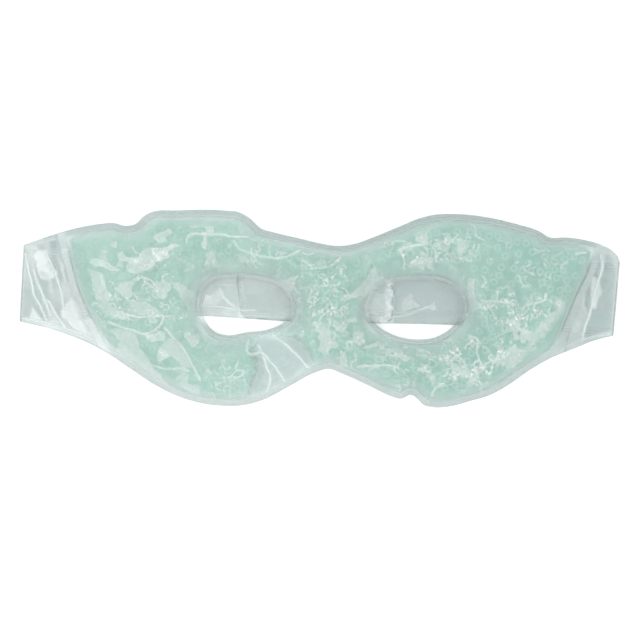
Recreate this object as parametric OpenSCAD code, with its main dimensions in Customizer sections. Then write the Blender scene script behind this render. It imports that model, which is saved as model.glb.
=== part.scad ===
// Gel-bead eye mask, lying face up on a table with its two strap halves folded closed behind it.
// +X runs to the right, +Y to the brow and +Z to the front. The table is at z = 0.
// Two clear films are welded round the rim, round both eye openings and along a slanted weld at
// each end. Carrier gel with beads fills the chamber between them. Past the end folds the same
// two films run on as the plies of the strap halves, which meet in a hook-and-loop closure.

/* [Film] */
// Thickness of one ply of clear film
film_t = 0.25; // [0.2:0.05:0.3]
// Width of the weld along the outline
rim_w = 2.2; // [1.8:0.1:2.6]
// Width of the weld round each eye opening
eye_weld_w = 1.4; // [1.2:0.1:1.6]

/* [Gel] */
// Height of the gel above the weld plane at the front
gel_front_h = 7.5; // [5:0.5:9]
// Distance from a weld at which the gel reaches its full height
gel_shoulder = 11; // [9:0.5:13]
// Diameter of one gel bead
bead_d = 3; // [2:0.5:4]
// Distance between neighbouring beads
bead_pitch = 9; // [8:0.5:12]

/* [Closure] */
// Thickness of the loop pad
loop_pad_t = 0.8; // [0.6:0.1:0.9]
// Thickness of the hook pad
hook_pad_t = 0.7; // [0.5:0.1:0.8]
// Length of both pads along the strap
pad_l = 25; // [15:1:30]
// Width of both pads across the strap
pad_w = 17; // [12:1:18]

/* [Folds] */
// Steepest slope of the film at an end fold, in degrees
fold_slope = 50; // [45:1:55]
// Radius of the soft bead along the fold line
fold_bead_r = 0.3; // [0.25:0.05:0.35]

/* [Hidden] */

film_colour = [0.78, 0.83, 0.83, 0.5];
gel_colour = [0.64, 0.82, 0.76];
bead_colour = [0.72, 0.88, 0.83];
pad_colour = [0.92, 0.93, 0.92];

// Heights. Both plies of a strap lie together, and the pads sit between the two strap halves.
strap_t = 2 * film_t;
clearance = 0.3;
pad_gap = 0.1;
overlap_z = strap_t + loop_pad_t + pad_gap + hook_pad_t;
overlap_top = overlap_z + strap_t;
gel_back_min = 0.25;
weld_z = overlap_top + clearance + gel_back_min + film_t;
gel_back_max = weld_z - film_t;
gel_back_strap = gel_back_max - strap_t - clearance;

// Ends of the two fold lines, lower end first
left_fold_line = [[-120, -5.2], [-118.4, 25.4]];
right_fold_line = [[117.6, -10.8], [120.2, 18.6]];

// Edges of the outline, from the left fold line to the right one
top_edge = [
    [-118.4, 25.4], [-110, 28.4], [-98, 32], [-88, 33.8], [-82.5, 34.2], [-77, 33], [-73.6, 33.8],
    [-70.5, 36.8], [-66.5, 38.8], [-58, 39.2], [-38, 39.2], [-32.5, 38.6], [-28, 36.2], [-23, 31.8],
    [-18.5, 30.5], [-8, 28], [1, 25.9], [7, 25], [13, 25.6], [22, 28.7], [32, 32.8], [40, 36.1],
    [46, 37.5], [54, 37.8], [66, 36.7], [78, 34], [87.5, 31.1], [92.5, 28.3], [98, 28.4],
    [107, 27.2], [113.5, 25.2], [117.8, 22.6], [119.6, 20.4], [120.2, 18.6],
];
bottom_edge = [
    [-120, -5.2], [-110, -7.5], [-100, -10.7], [-92, -14], [-84, -18.4], [-76, -23.8], [-67, -29.8],
    [-57, -34.9], [-47, -37.9], [-38, -38.9], [-30, -38.6], [-23, -36.7], [-12, -31], [-2, -25.7],
    [3.8, -24.1], [9, -26], [20, -31], [29, -35.2], [32.4, -36.1], [37, -34.5], [39, -36],
    [41.5, -38.5], [45.5, -39.5], [52, -39.2], [60, -37.1], [68.5, -34.5], [76, -30.3],
    [84, -24.7], [92, -20.1], [102, -16], [110, -12.8], [117.6, -10.8],
];

// Eye openings, each as its upper and its lower lid from the left corner to the right corner
left_eye_upper = [
    [-47.4, 1.4], [-45.6, 8], [-42.4, 10.8], [-35.5, 11.9], [-24, 11], [-17, 8.9], [-12.9, 4.8],
    [-11.6, 0.2],
];
left_eye_lower = [
    [-47.4, 1.4], [-46, -4.2], [-42, -9.2], [-37.2, -10.7], [-29, -9.5], [-20, -8.2], [-13.4, -4.6],
    [-11.6, 0.2],
];
right_eye_upper = [
    [20, 0.6], [21.8, 5.4], [25, 8.7], [30, 10.4], [39, 11.2], [48.5, 10.6], [54.4, 7.6],
    [57.4, -0.4],
];
right_eye_lower = [
    [20, 0.6], [21, -4], [24, -7.4], [30, -10.7], [39, -12.4], [46, -11.6], [52.4, -8],
    [57.4, -0.4],
];

// Slanted welds that close the chamber at its ends, from the outer end to the inner one
left_end_weld = [[-102.4, 30], [-99.2, 16], [-95.2, 3.4], [-90, -7], [-84, -17.5]];
right_end_weld = [[94, -17.5], [99.2, -4.6], [102.4, 3.4], [108, 15.4], [111.4, 25.5]];

// Strap halves in plan, before their corners are rounded
left_strap_plan = [
    [-121, -5.4], [-46.6, -2.9], [-28, -4.2], [-14, -5], [29.4, -6.2], [29.4, 16.8], [-40, 18],
    [-80, 20.5], [-121, 25.6],
];
right_strap_plan = [
    [-32.4, -3.6], [-10, -5.4], [22.6, -5.9], [53.4, -6.6], [119, -11.2], [121.4, 18.8], [60, 17.6],
    [-33, 16.6],
];
strap_corner_r = 4;
pad_corner_r = 2.5;
pad_centre = [5.5, 5.8];

// The left half climbs over the end of the right half between these two stations.
climb_start = -45;
climb_end = -36;

// Zones of the back, where it bellies down to the table beside the straps
cheek_y = [-12.5, -16.5];
brow_y = [25, 29];
left_overlap_x = [-53, -47];
right_overlap_x = [37, 31];

// Sampling of the curves and of the film's grid
curve_steps = 5;
side_columns = 13;
eye_columns = 10;
bridge_columns = 7;
tab_columns = 3;
fold_columns = 4;
band_rows = 3;
mid_row_gap = 5;
mid_row_share = 0.4;
cut_margin = 60;
fine_steps = 24;

// Points nearer to each other than this are one point.
touching = 0.01;

// Straight line from a to b at share t, and a smooth step from 0 at one value to 1 at another
function mix(a, b, t) = a + (b - a) * t;
function clamp01(t) = max(0, min(1, t));
function smooth_step(from_to, v) =
    let (t = clamp01((v - from_to[0]) / (from_to[1] - from_to[0])))
    t * t * (3 - 2 * t);

// Smooth curve through points: its direction at a point, and the point at share t of a span
function direction(before, here, after) =
    let (h0 = norm(here - before), h1 = norm(after - here))
    ((here - before) * h1 / h0 + (after - here) * h0 / h1) / (h0 + h1);
function end_direction(here, after) = (after - here) / norm(after - here);
function span_point(p0, p1, d0, d1, t) =
    let (h = norm(p1 - p0), u = 1 - t)
    p0 * u * u * (1 + 2 * t) + p1 * t * t * (1 + 2 * u) + d0 * h * t * u * u - d1 * h * t * t * u;
function open_direction(p, i) =
    i == 0 ? end_direction(p[0], p[1])
    : i == len(p) - 1 ? end_direction(p[i - 1], p[i])
    : direction(p[i - 1], p[i], p[i + 1]);
function open_curve(p) = [
    for (i = [0:len(p) - 2], k = [0:curve_steps - 1])
        span_point(p[i], p[i + 1], open_direction(p, i), open_direction(p, i + 1), k / curve_steps),
    p[len(p) - 1],
];
function loop_direction(p, i) =
    let (n = len(p))
    direction(p[(i + n - 1) % n], p[i % n], p[(i + 1) % n]);
function closed_curve(p) = [
    for (i = [0:len(p) - 1], k = [0:curve_steps - 1])
        let (j = (i + 1) % len(p))
        span_point(p[i], p[j], loop_direction(p, i), loop_direction(p, j), k / curve_steps),
];

// A curve moved sideways, to the left of its direction
function left_of(v) = [-v.y, v.x] / norm(v);
function moved_curve(c, d) = [
    for (i = [0:len(c) - 1])
        c[i] + d * left_of(c[min(i + 1, len(c) - 1)] - c[max(i - 1, 0)]),
];
function moved_loop(c, d) =
    let (n = len(c))
    [for (i = [0:n - 1]) c[i] + d * left_of(c[(i + 1) % n] - c[(i + n - 1) % n])];
function reversed(c) = [for (i = [len(c) - 1:-1:0]) c[i]];

// An eye opening as one loop, clockwise from its left corner, and its two lids as curves
function eye_loop(upper, lower) =
    closed_curve(concat(upper, [for (i = [len(lower) - 2:-1:1]) lower[i]]));
function upper_part(loop, upper) = [for (i = [0:(len(upper) - 1) * curve_steps]) loop[i]];
function lower_part(loop, upper) =
    reversed([for (i = [(len(upper) - 1) * curve_steps:len(loop)]) loop[i % len(loop)]]);

top_curve = open_curve(top_edge);
bottom_curve = open_curve(bottom_edge);
chamber_top_curve = moved_curve(top_curve, -rim_w);
chamber_bottom_curve = moved_curve(bottom_curve, rim_w);
left_end_curve = open_curve(left_end_weld);
right_end_curve = open_curve(right_end_weld);
eye_uppers = [left_eye_upper, right_eye_upper];
eye_lowers = [left_eye_lower, right_eye_lower];
eye_loops = [for (e = [0, 1]) eye_loop(eye_uppers[e], eye_lowers[e])];
weld_loops = [for (loop = eye_loops) moved_loop(loop, eye_weld_w)];
upper_lids = [for (e = [0, 1]) upper_part(eye_loops[e], eye_uppers[e])];
lower_lids = [for (e = [0, 1]) lower_part(eye_loops[e], eye_uppers[e])];
upper_welds = [for (e = [0, 1]) upper_part(weld_loops[e], eye_uppers[e])];
lower_welds = [for (e = [0, 1]) lower_part(weld_loops[e], eye_uppers[e])];
eye_corners = [for (e = [0, 1]) [eye_uppers[e][0], eye_uppers[e][len(eye_uppers[e]) - 1]]];

// Heights of the outline and the chamber at station x
function chamber_top(x) = lookup(x, chamber_top_curve);
function chamber_bottom(x) =
    let (rim = lookup(x, chamber_bottom_curve))
    x < left_end_weld[len(left_end_weld) - 1].x ? max(rim, lookup(x, left_end_curve))
    : x > right_end_weld[0].x ? max(rim, lookup(x, right_end_curve))
    : rim;

// Mid line that parts the lower band of the grid from the upper one, through the eye corners
chamber_x = [-100.6, 109.4];
mid_line = [
    [chamber_x[0], mix(chamber_bottom(chamber_x[0]), chamber_top(chamber_x[0]), 0.5)],
    eye_corners[0][0],
    eye_corners[0][1],
    eye_corners[1][0],
    eye_corners[1][1],
    [chamber_x[1], mix(chamber_bottom(chamber_x[1]), chamber_top(chamber_x[1]), 0.5)],
];

// Stations of the grid's columns across the chamber
function even(a, b, n) = [for (i = [1:n - 1]) mix(a, b, i / n)];
function eye_stations(e) =
    let (a = eye_corners[e][0].x, b = eye_corners[e][1].x, half_weld = eye_weld_w / 2)
    concat(
        [a - eye_weld_w, a - half_weld],
        [for (i = [0:eye_columns]) mix(a, b, (1 - cos(180 * i / eye_columns)) / 2)],
        [b + half_weld, b + eye_weld_w]
    );
chamber_stations = concat(
    [chamber_x[0]],
    even(chamber_x[0], eye_corners[0][0].x - eye_weld_w, side_columns),
    eye_stations(0),
    even(eye_corners[0][1].x + eye_weld_w, eye_corners[1][0].x - eye_weld_w, bridge_columns),
    eye_stations(1),
    even(eye_corners[1][1].x + eye_weld_w, chamber_x[1], side_columns),
    [chamber_x[1]]
);

// Distance from a point to the nearest weld
function segment_distance(p, a, b) =
    let (v = b - a, t = clamp01(((p - a) * v) / (v * v)))
    norm(p - a - t * v);
function loop_distance(p, loop) =
    min([for (i = [0:len(loop) - 1]) segment_distance(p, loop[i], loop[(i + 1) % len(loop)])]);
chamber_loop = concat(
    [for (x = chamber_stations) [x, chamber_top(x)]],
    reversed([for (x = chamber_stations) [x, chamber_bottom(x)]])
);
function in_eye_weld(p) =
    len([
        for (e = [0, 1])
            if (
                p.x > eye_corners[e][0].x - eye_weld_w && p.x < eye_corners[e][1].x + eye_weld_w
                && p.y > lookup(p.x, lower_welds[e]) && p.y < lookup(p.x, upper_welds[e])
            )
            1,
    ]) > 0;
function in_chamber(p) =
    p.x >= chamber_x[0] && p.x <= chamber_x[1]
    && p.y > chamber_bottom(p.x) && p.y < chamber_top(p.x) && !in_eye_weld(p);
function weld_distance(p) =
    let (
        nearest = in_chamber(p) ? min(
            loop_distance(p, chamber_loop),
            loop_distance(p, weld_loops[0]),
            loop_distance(p, weld_loops[1])
        ) : 0
    )
    nearest < touching ? 0 : nearest;

// Rise of the gel: steep at the weld and flat past the shoulder
rise_power = 0.75;
function rise(p) = pow(1 - pow(1 - clamp01(weld_distance(p) / gel_shoulder), 2), rise_power);
function back_depth(p) =
    let (
        beside = max(smooth_step(cheek_y, p.y), smooth_step(brow_y, p.y)),
        overlap = min(smooth_step(left_overlap_x, p.x), smooth_step(right_overlap_x, p.x)),
        over_straps = mix(gel_back_strap, gel_back_min, overlap)
    )
    mix(over_straps, gel_back_max, beside);

// Film surface at a point of the weld plane: side 1 is the front, side -1 the back
function surface_rise(p, side) =
    let (r = rise(p))
    side > 0 ? gel_front_h * r : -back_depth(p) * r;

// Rows of one column of the chamber grid, from the bottom edge to the top edge
function eye_at(x, margin) =
    [for (e = [0, 1]) if (x > eye_corners[e][0].x - margin && x < eye_corners[e][1].x + margin) e];
function row_share(k) = (1 - cos(180 * k / (band_rows + 1))) / 2;
function column_rows(x) =
    let (
        low = chamber_bottom(x),
        high = chamber_top(x),
        mid = lookup(x, mid_line),
        low_gap = min(mid_row_gap, mid_row_share * (mid - low)),
        high_gap = min(mid_row_gap, mid_row_share * (high - mid)),
        weld = eye_at(x, eye_weld_w),
        eye = eye_at(x, 0),
        low_weld = len(weld) > 0 ? lookup(x, lower_welds[weld[0]]) : mid - low_gap,
        high_weld = len(weld) > 0 ? lookup(x, upper_welds[weld[0]]) : mid + high_gap,
        low_edge = len(eye) > 0 ? lookup(x, lower_lids[eye[0]]) : mid,
        high_edge = len(eye) > 0 ? lookup(x, upper_lids[eye[0]]) : mid
    )
    concat(
        [lookup(x, bottom_curve)],
        [for (k = [0:band_rows + 1]) mix(low, low_weld, row_share(k))],
        [low_edge, high_edge],
        [for (k = [0:band_rows + 1]) mix(high_weld, high, row_share(k))],
        [lookup(x, top_curve)]
    );
rows = 2 * band_rows + 8;
lid_row = band_rows + 4;

// Half of an end fold, as the height and the run of the mid ply at slope angle b
mid_drop = (weld_z - film_t) / 2;
fold_r = mid_drop / (1 - cos(fold_slope));
fold_run = fold_r * sin(fold_slope);
fold_z = film_t + mid_drop;
film_end_gap = 0.5;
fold_end_slope = fold_slope - film_end_gap / fold_r * 180 / PI;

// Tab and fold columns. Towards the fold line they lean over to run along it.
function fold_x(line, y) = mix(line[0].x, line[1].x, (y - line[0].y) / (line[1].y - line[0].y));
function line_middle(line) = (line[0] + line[1]) / 2;
function row_places(column) = [
    for (r = [0:rows - 1]) (column[r] - column[0]) / (column[rows - 1] - column[0]),
];
function flat_rows(x, start_x, share) =
    let (
        low = lookup(x, bottom_curve),
        high = lookup(x, top_curve),
        chamber_places = row_places(column_rows(start_x))
    )
    [
        for (r = [0:rows - 1])
            let (even_place = (r < lid_row ? r : r - 1) / (rows - 2))
            mix(low, high, mix(chamber_places[r], even_place, share)),
    ];
function tab_column(line, start_x, share) =
    let (
        dir = sign(line[0].x),
        inner_x = start_x + dir,
        middle = line_middle(line),
        x = mix(inner_x, middle.x - dir * fold_run, share)
    )
    [
        for (y = flat_rows(x, start_x, share))
            [[x + (fold_x(line, y) - middle.x) * share, y, weld_z], [0, 0, 1]],
    ];
function fold_column(line, start_x, slope) =
    let (
        dir = sign(line[0].x),
        middle = line_middle(line),
        x = middle.x - dir * (fold_run - fold_r * sin(slope)),
        z = weld_z - fold_r * (1 - cos(slope))
    )
    [
        for (y = flat_rows(x, start_x, 1))
            [[x + fold_x(line, y) - middle.x, y, z], [dir * sin(slope), 0, cos(slope)]],
    ];
function chamber_column(x, side) = [
    for (y = column_rows(x))
        [[x, y, weld_z + surface_rise([x, y], side)], [0, 0, 1]],
];
function end_columns(line, start_x) = concat(
    [for (i = [0:tab_columns]) tab_column(line, start_x, i / tab_columns)],
    [for (i = [1:fold_columns]) fold_column(line, start_x, fold_end_slope * i / fold_columns)]
);
function film_columns(side) = concat(
    reversed(end_columns(left_fold_line, chamber_x[0])),
    [for (x = chamber_stations) chamber_column(x, side)],
    end_columns(right_fold_line, chamber_x[1])
);

// A column parts at its eye opening where its two lid rows stand apart.
function is_open(column) = norm(column[lid_row - 1][0] - column[lid_row][0]) > touching;

// One film: its front and back surfaces, the walls round its outline and round the eye openings
function quad(a, b, c, d) = [[a, b, c], [a, c, d]];
function flat(lists) = [for (list = lists, item = list) item];
module film(side) {
    columns = film_columns(side);
    last = len(columns) - 1;
    low_offset = side > 0 ? 0 : -film_t;
    points = concat(
        [for (column = columns, p = column) p[0] + (low_offset + film_t) * p[1]],
        [for (column = columns, p = column) p[0] + low_offset * p[1]]
    );
    under = len(columns) * rows;
    function id(c, r) = c * rows + (r == lid_row && !is_open(columns[c]) ? lid_row - 1 : r);
    bands = [for (r = [0:rows - 2]) if (r != lid_row - 1) r];
    tops = [for (c = [0:last - 1], r = bands) quad(id(c, r), id(c, r + 1), id(c + 1, r + 1), id(c + 1, r))];
    bottoms = [for (faces = tops) [for (f = faces) [f[2] + under, f[1] + under, f[0] + under]]];
    function wall(a, b) = quad(a, b, b + under, a + under);
    opened = [for (c = [0:last - 1]) if (is_open(columns[c]) || is_open(columns[c + 1])) c];
    walls = concat(
        [for (c = [0:last - 1]) wall(id(c, 0), id(c + 1, 0))],
        [for (c = [0:last - 1]) wall(id(c + 1, rows - 1), id(c, rows - 1))],
        [for (c = opened) wall(id(c + 1, lid_row - 1), id(c, lid_row - 1))],
        [for (c = opened) wall(id(c, lid_row), id(c + 1, lid_row))],
        [for (r = bands) wall(id(0, r + 1), id(0, r))],
        [for (r = bands) wall(id(last, r), id(last, r + 1))]
    );
    polyhedron(points = points, faces = concat(flat(tops), flat(bottoms), flat(walls)));
}

// The gel between the films, on the same grid, so its skin lies on theirs
module gel_body() {
    front = [for (x = chamber_stations) chamber_column(x, 1)];
    back = [for (x = chamber_stations) chamber_column(x, -1)];
    last = len(chamber_stations) - 1;
    under = len(front) * rows;
    function on_weld(c, r) = front[c][r][0].z == back[c][r][0].z;
    function shared(c, r) = r == lid_row && !is_open(front[c]) ? lid_row - 1 : r;
    function top_id(c, r) = c * rows + shared(c, r);
    function low_id(c, r) = top_id(c, r) + (on_weld(c, r) ? 0 : under);
    bands = [for (r = [1:rows - 3]) if (r != lid_row - 1) r];
    function has_gel(f) = f[0] != f[1] && f[1] != f[2] && f[2] != f[0];
    cells = [for (c = [0:last - 1], r = bands) [[c, r], [c, r + 1], [c + 1, r + 1], [c + 1, r]]];
    corners = flat([for (q = cells) quad(q[0], q[1], q[2], q[3])]);
    filled = [for (t = corners) if (len([for (p = t) if (!on_weld(p[0], p[1])) 1]) > 0) t];
    tops = [for (t = filled) [for (p = t) top_id(p[0], p[1])]];
    lows = [for (t = filled) [for (p = reversed(t)) low_id(p[0], p[1])]];
    function end_wall(c, r, flip) =
        let (w = [top_id(c, r), top_id(c, r + 1), low_id(c, r + 1), low_id(c, r)])
        [for (f = quad(w[0], w[1], w[2], w[3])) if (has_gel(f)) flip ? reversed(f) : f];
    ends = flat(concat(
        [for (r = bands) end_wall(0, r, true)],
        [for (r = bands) end_wall(last, r, false)]
    ));
    polyhedron(
        points = [for (column = concat(front, back), p = column) p[0]],
        faces = concat(tops, lows, ends)
    );
}

// Round corners: each corner of a polygon becomes an arc that touches both of its sides.
corner_steps = 6;
function round_corner(before, here, after, r) =
    let (
        a = (before - here) / norm(before - here),
        b = (after - here) / norm(after - here),
        half = acos(a * b) / 2,
        reach = min(r / tan(half), norm(before - here) / 2, norm(after - here) / 2),
        centre = here + (a + b) / norm(a + b) * reach / cos(half),
        start = here + a * reach - centre,
        turn = (180 - 2 * half) * sign(cross(start, b - a))
    )
    [
        for (k = [0:corner_steps])
            let (t = turn * k / corner_steps)
            centre + [start.x * cos(t) - start.y * sin(t), start.x * sin(t) + start.y * cos(t)],
    ];
function rounded(p, r) =
    let (n = len(p))
    [for (i = [0:n - 1], q = round_corner(p[(i + n - 1) % n], p[i], p[(i + 1) % n], r)) q];

// Side view of a strap half from its fold line inwards: [distance, height, slope angle] of the
// mid ply. It leaves the fold line steeply, flattens on to the table and may climb a step.
fold_steps = 8;
climb_steps = 8;
strap_reach = 160;
function fold_side(start_slope) = [
    for (i = [0:fold_steps])
        let (slope = mix(start_slope, 0, i / fold_steps))
        [fold_run - fold_r * sin(slope), film_t + fold_r * (1 - cos(slope)), slope],
];
function climb_side(from, to) = [
    for (i = [0:climb_steps])
        let (t = i / climb_steps, pitch = overlap_z * 6 * t * (1 - t) / (to - from))
        [mix(from, to, t), film_t + overlap_z * smooth_step([0, 1], t), -atan(pitch)],
];
function flat_side(z) = [[strap_reach, z, 0]];
function ply_outline(side, inner, outer) = concat(
    [for (p = side) [p[0] + inner * sin(p[2]), p[1] + inner * cos(p[2])]],
    reversed([for (p = side) [p[0] + outer * sin(p[2]), p[1] + outer * cos(p[2])]])
);

// Places a side view, drawn inwards from the fold line, along that line
module along_fold(line) {
    v = line[1] - line[0];
    middle = line_middle(line);
    translate([middle.x, middle.y, 0])
        rotate([0, 0, -atan(v.x / v.y)])
            mirror([middle.x > 0 ? 1 : 0, 0, 0])
                rotate([90, 0, 0])
                    translate([0, 0, -cut_margin])
                        linear_extrude(2 * cut_margin) children();
}
module strap_ply(line, plan, side, inner, outer) {
    intersection() {
        along_fold(line) polygon(ply_outline(side, inner, outer));
        linear_extrude(cut_margin) polygon(plan);
    }
}
module fold_bead(line) {
    v = line[1] - line[0];
    translate([line[0].x, line[0].y, fold_z])
        rotate([-90, 0, -atan(v.x / v.y)])
            cylinder(h = norm(v), r = fold_bead_r, $fn = fine_steps);
}

bead_gap = 0.1;
inner_start_slope = fold_slope - (fold_bead_r + bead_gap) / fold_r * 180 / PI;
left_fold_x = line_middle(left_fold_line).x;
left_climb = climb_side(climb_start - left_fold_x, climb_end - left_fold_x);
function left_side(start_slope) =
    concat(fold_side(start_slope), left_climb, flat_side(film_t + overlap_z));
function right_side(start_slope) = concat(fold_side(start_slope), flat_side(film_t));
left_plan = rounded(left_strap_plan, strap_corner_r);
right_plan = rounded(right_strap_plan, strap_corner_r);

// Film grids
module front_film() {
    color(film_colour) film(1);
}
module back_film() {
    color(film_colour) film(-1);
}

// Filling
module carrier_gel() {
    color(gel_colour) gel_body();
}
bead_lift = 2;
bead_margin = 3.6;
bead_rows = [-4:4];
bead_columns = [-12:12];
module gel_beads() {
    for (i = bead_columns, j = bead_rows) {
        p = [i * bead_pitch + (j % 2 == 0 ? 0 : bead_pitch / 2), j * bead_pitch * sin(60)];
        if (weld_distance(p) > bead_margin) {
            color(bead_colour)
                translate([p.x, p.y, weld_z + bead_lift]) sphere(d = bead_d, $fn = fine_steps);
        }
    }
}

// Strap halves
module left_strap_outer_film() {
    color(film_colour) {
        strap_ply(left_fold_line, left_plan, left_side(fold_slope), -film_t, 0);
        fold_bead(left_fold_line);
    }
}
module left_strap_inner_film() {
    color(film_colour)
        strap_ply(left_fold_line, left_plan, left_side(inner_start_slope), 0, film_t);
}
module right_strap_outer_film() {
    color(film_colour) {
        strap_ply(right_fold_line, right_plan, right_side(fold_slope), -film_t, 0);
        fold_bead(right_fold_line);
    }
}
module right_strap_inner_film() {
    color(film_colour)
        strap_ply(right_fold_line, right_plan, right_side(inner_start_slope), 0, film_t);
}

// Closure
module pad(z, thickness) {
    half = [pad_l / 2, pad_w / 2];
    corners = [-half, [half.x, -half.y], half, [-half.x, half.y]];
    translate([pad_centre.x, pad_centre.y, z])
        linear_extrude(thickness) polygon(rounded(corners, pad_corner_r));
}
module hook_pad() {
    color(pad_colour) pad(overlap_z - hook_pad_t, hook_pad_t);
}
module loop_pad() {
    color(pad_colour) pad(strap_t, loop_pad_t);
}

front_film();
back_film();
carrier_gel();
gel_beads();
left_strap_outer_film();
left_strap_inner_film();
hook_pad();
right_strap_outer_film();
right_strap_inner_film();
loop_pad();
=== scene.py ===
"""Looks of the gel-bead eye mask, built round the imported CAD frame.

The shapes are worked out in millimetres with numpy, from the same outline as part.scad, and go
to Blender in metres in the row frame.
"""

import math

import bmesh
import bpy
import numpy as np
from mathutils import Matrix, Vector
from mathutils.geometry import delaunay_2d_cdt
from mathutils.kdtree import KDTree


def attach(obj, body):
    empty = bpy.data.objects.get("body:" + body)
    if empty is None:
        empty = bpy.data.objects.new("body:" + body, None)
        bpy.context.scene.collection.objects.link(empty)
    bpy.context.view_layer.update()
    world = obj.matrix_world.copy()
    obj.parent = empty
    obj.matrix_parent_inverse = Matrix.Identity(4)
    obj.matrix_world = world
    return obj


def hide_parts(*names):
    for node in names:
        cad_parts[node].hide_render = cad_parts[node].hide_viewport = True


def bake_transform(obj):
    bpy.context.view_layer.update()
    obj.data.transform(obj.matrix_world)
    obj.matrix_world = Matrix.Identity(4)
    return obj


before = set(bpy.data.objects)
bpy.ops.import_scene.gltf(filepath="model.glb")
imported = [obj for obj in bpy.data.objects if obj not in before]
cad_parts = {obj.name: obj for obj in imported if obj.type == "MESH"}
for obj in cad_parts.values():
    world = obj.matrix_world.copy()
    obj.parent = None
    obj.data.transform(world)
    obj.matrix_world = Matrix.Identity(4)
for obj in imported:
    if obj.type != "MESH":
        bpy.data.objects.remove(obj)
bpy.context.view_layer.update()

MM = 0.001
scene = bpy.context.scene

# ---------------------------------------------------------------- sizes, as in part.scad (mm)
FILM_T = 0.25
RIM_W = 2.2
EYE_WELD_W = 1.4
GEL_FRONT_H = 7.5
GEL_SHOULDER = 11.0
RISE_POWER = 0.75
FRONT_SHOULDER = 12.0
CREST_ROUND = 2.6
FRONT_SWELL = 1.6
STRAP_T = 2 * FILM_T
LOOP_T = 0.8
HOOK_T = 0.7
PAD_GAP = 0.1
OVERLAP_Z = STRAP_T + LOOP_T + PAD_GAP + HOOK_T
WELD_Z = 3.4
BACK_MAX = WELD_Z - FILM_T
BACK_STRAP = BACK_MAX - STRAP_T - 0.3
BACK_MIN = 0.25
# Where the back film lies flat on the straps, and where it lies on both halves of them
STRAPS_Y = ((-16.5, -12.5), (25, 29))
OVERLAP_X = ((-53, -47), (31, 37))
FOLD_SLOPE = math.radians(50)
FOLD_TIP = 0.25
FOLD_RUN = 3.95
TIP_Z = FILM_T + BACK_MAX / 2
CLIMB = (-45.0, -36.0)
CORNER_R = 4.0
PAD_CENTRE = (5.5, 5.8)
PAD_SIZE = (25.0, 17.0)
PAD_CORNER = 2.5

LEFT_FOLD = [(-120, -5.2), (-118.4, 25.4)]
RIGHT_FOLD = [(117.6, -10.8), (120.2, 18.6)]
TOP_EDGE = [
    (-118.4, 25.4), (-110, 28.4), (-98, 32), (-88, 33.8), (-82.5, 34.2), (-77, 33),
    (-73.6, 33.8), (-70.5, 36.8), (-66.5, 38.8), (-58, 39.2), (-38, 39.2), (-32.5, 38.6),
    (-28, 36.2), (-23, 31.8), (-18.5, 30.5), (-8, 28), (1, 25.9), (7, 25), (13, 25.6),
    (22, 28.7), (32, 32.8), (40, 36.1), (46, 37.5), (54, 37.8), (66, 36.7), (78, 34),
    (87.5, 31.1), (92.5, 28.3), (98, 28.4), (107, 27.2), (113.5, 25.2), (117.8, 22.6),
    (119.6, 20.4), (120.2, 18.6),
]
BOTTOM_EDGE = [
    (-120, -5.2), (-110, -7.5), (-100, -10.7), (-92, -14), (-84, -18.4), (-76, -23.8),
    (-67, -29.8), (-57, -34.9), (-47, -37.9), (-38, -38.9), (-30, -38.6), (-23, -36.7),
    (-12, -31), (-2, -25.7), (3.8, -24.1), (9, -26), (20, -31), (29, -35.2), (32.4, -36.1),
    (37, -34.5), (39, -36), (41.5, -38.5), (45.5, -39.5), (52, -39.2), (60, -37.1),
    (68.5, -34.5), (76, -30.3), (84, -24.7), (92, -20.1), (102, -16), (110, -12.8),
    (117.6, -10.8),
]
LEFT_EYE = [
    (-47.4, 1.4), (-45.6, 8), (-42.4, 10.8), (-35.5, 11.9), (-24, 11), (-17, 8.9),
    (-12.9, 4.8), (-11.6, 0.2), (-13.4, -4.6), (-20, -8.2), (-29, -9.5), (-37.2, -10.7),
    (-42, -9.2), (-46, -4.2),
]
RIGHT_EYE = [
    (20, 0.6), (21.8, 5.4), (25, 8.7), (30, 10.4), (39, 11.2), (48.5, 10.6), (54.4, 7.6),
    (57.4, -0.4), (52.4, -8), (46, -11.6), (39, -12.4), (30, -10.7), (24, -7.4), (21, -4),
]
LEFT_WELD = [(-102.4, 30), (-99.2, 16), (-95.2, 3.4), (-90, -7), (-84, -17.5)]
RIGHT_WELD = [(94, -17.5), (99.2, -4.6), (102.4, 3.4), (108, 15.4), (111.4, 25.5)]
# Where each mask film ends and the tab begins, on the outer side of the end weld: x on the
# bottom edge, points between, x on the top edge
LEFT_SEAM = (-87.6, [(-92.2, -7.8), (-97.4, 2.8), (-101.5, 16)], -105.0)
RIGHT_SEAM = (97.6, [(101.5, -5.4), (104.7, 2.7), (110.2, 14.6)], 113.4)
LEFT_STRAP_LOW = [(-46.6, -2.9), (-28, -4.2), (-14, -5), (29.4, -6.2)]
LEFT_STRAP_HIGH = [(-80, 20.5), (-40, 18), (29.4, 16.8)]
RIGHT_STRAP_LOW = [(53.4, -6.6), (22.6, -5.9), (-10, -5.4), (-32.4, -3.6)]
RIGHT_STRAP_HIGH = [(60, 17.6), (-33, 16.6)]


# ---------------------------------------------------------------- curves, distances and noise
def smooth(low, high, v):
    """0 at low, 1 at high and an easy curve between them."""
    t = np.clip((v - low) / (high - low), 0, 1)
    return t * t * (3 - 2 * t)


def band(v, low, high):
    """1 between two values, each given as the pair over which the band fades."""
    return np.minimum(smooth(*low, v), smooth(high[1], high[0], v))


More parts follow.
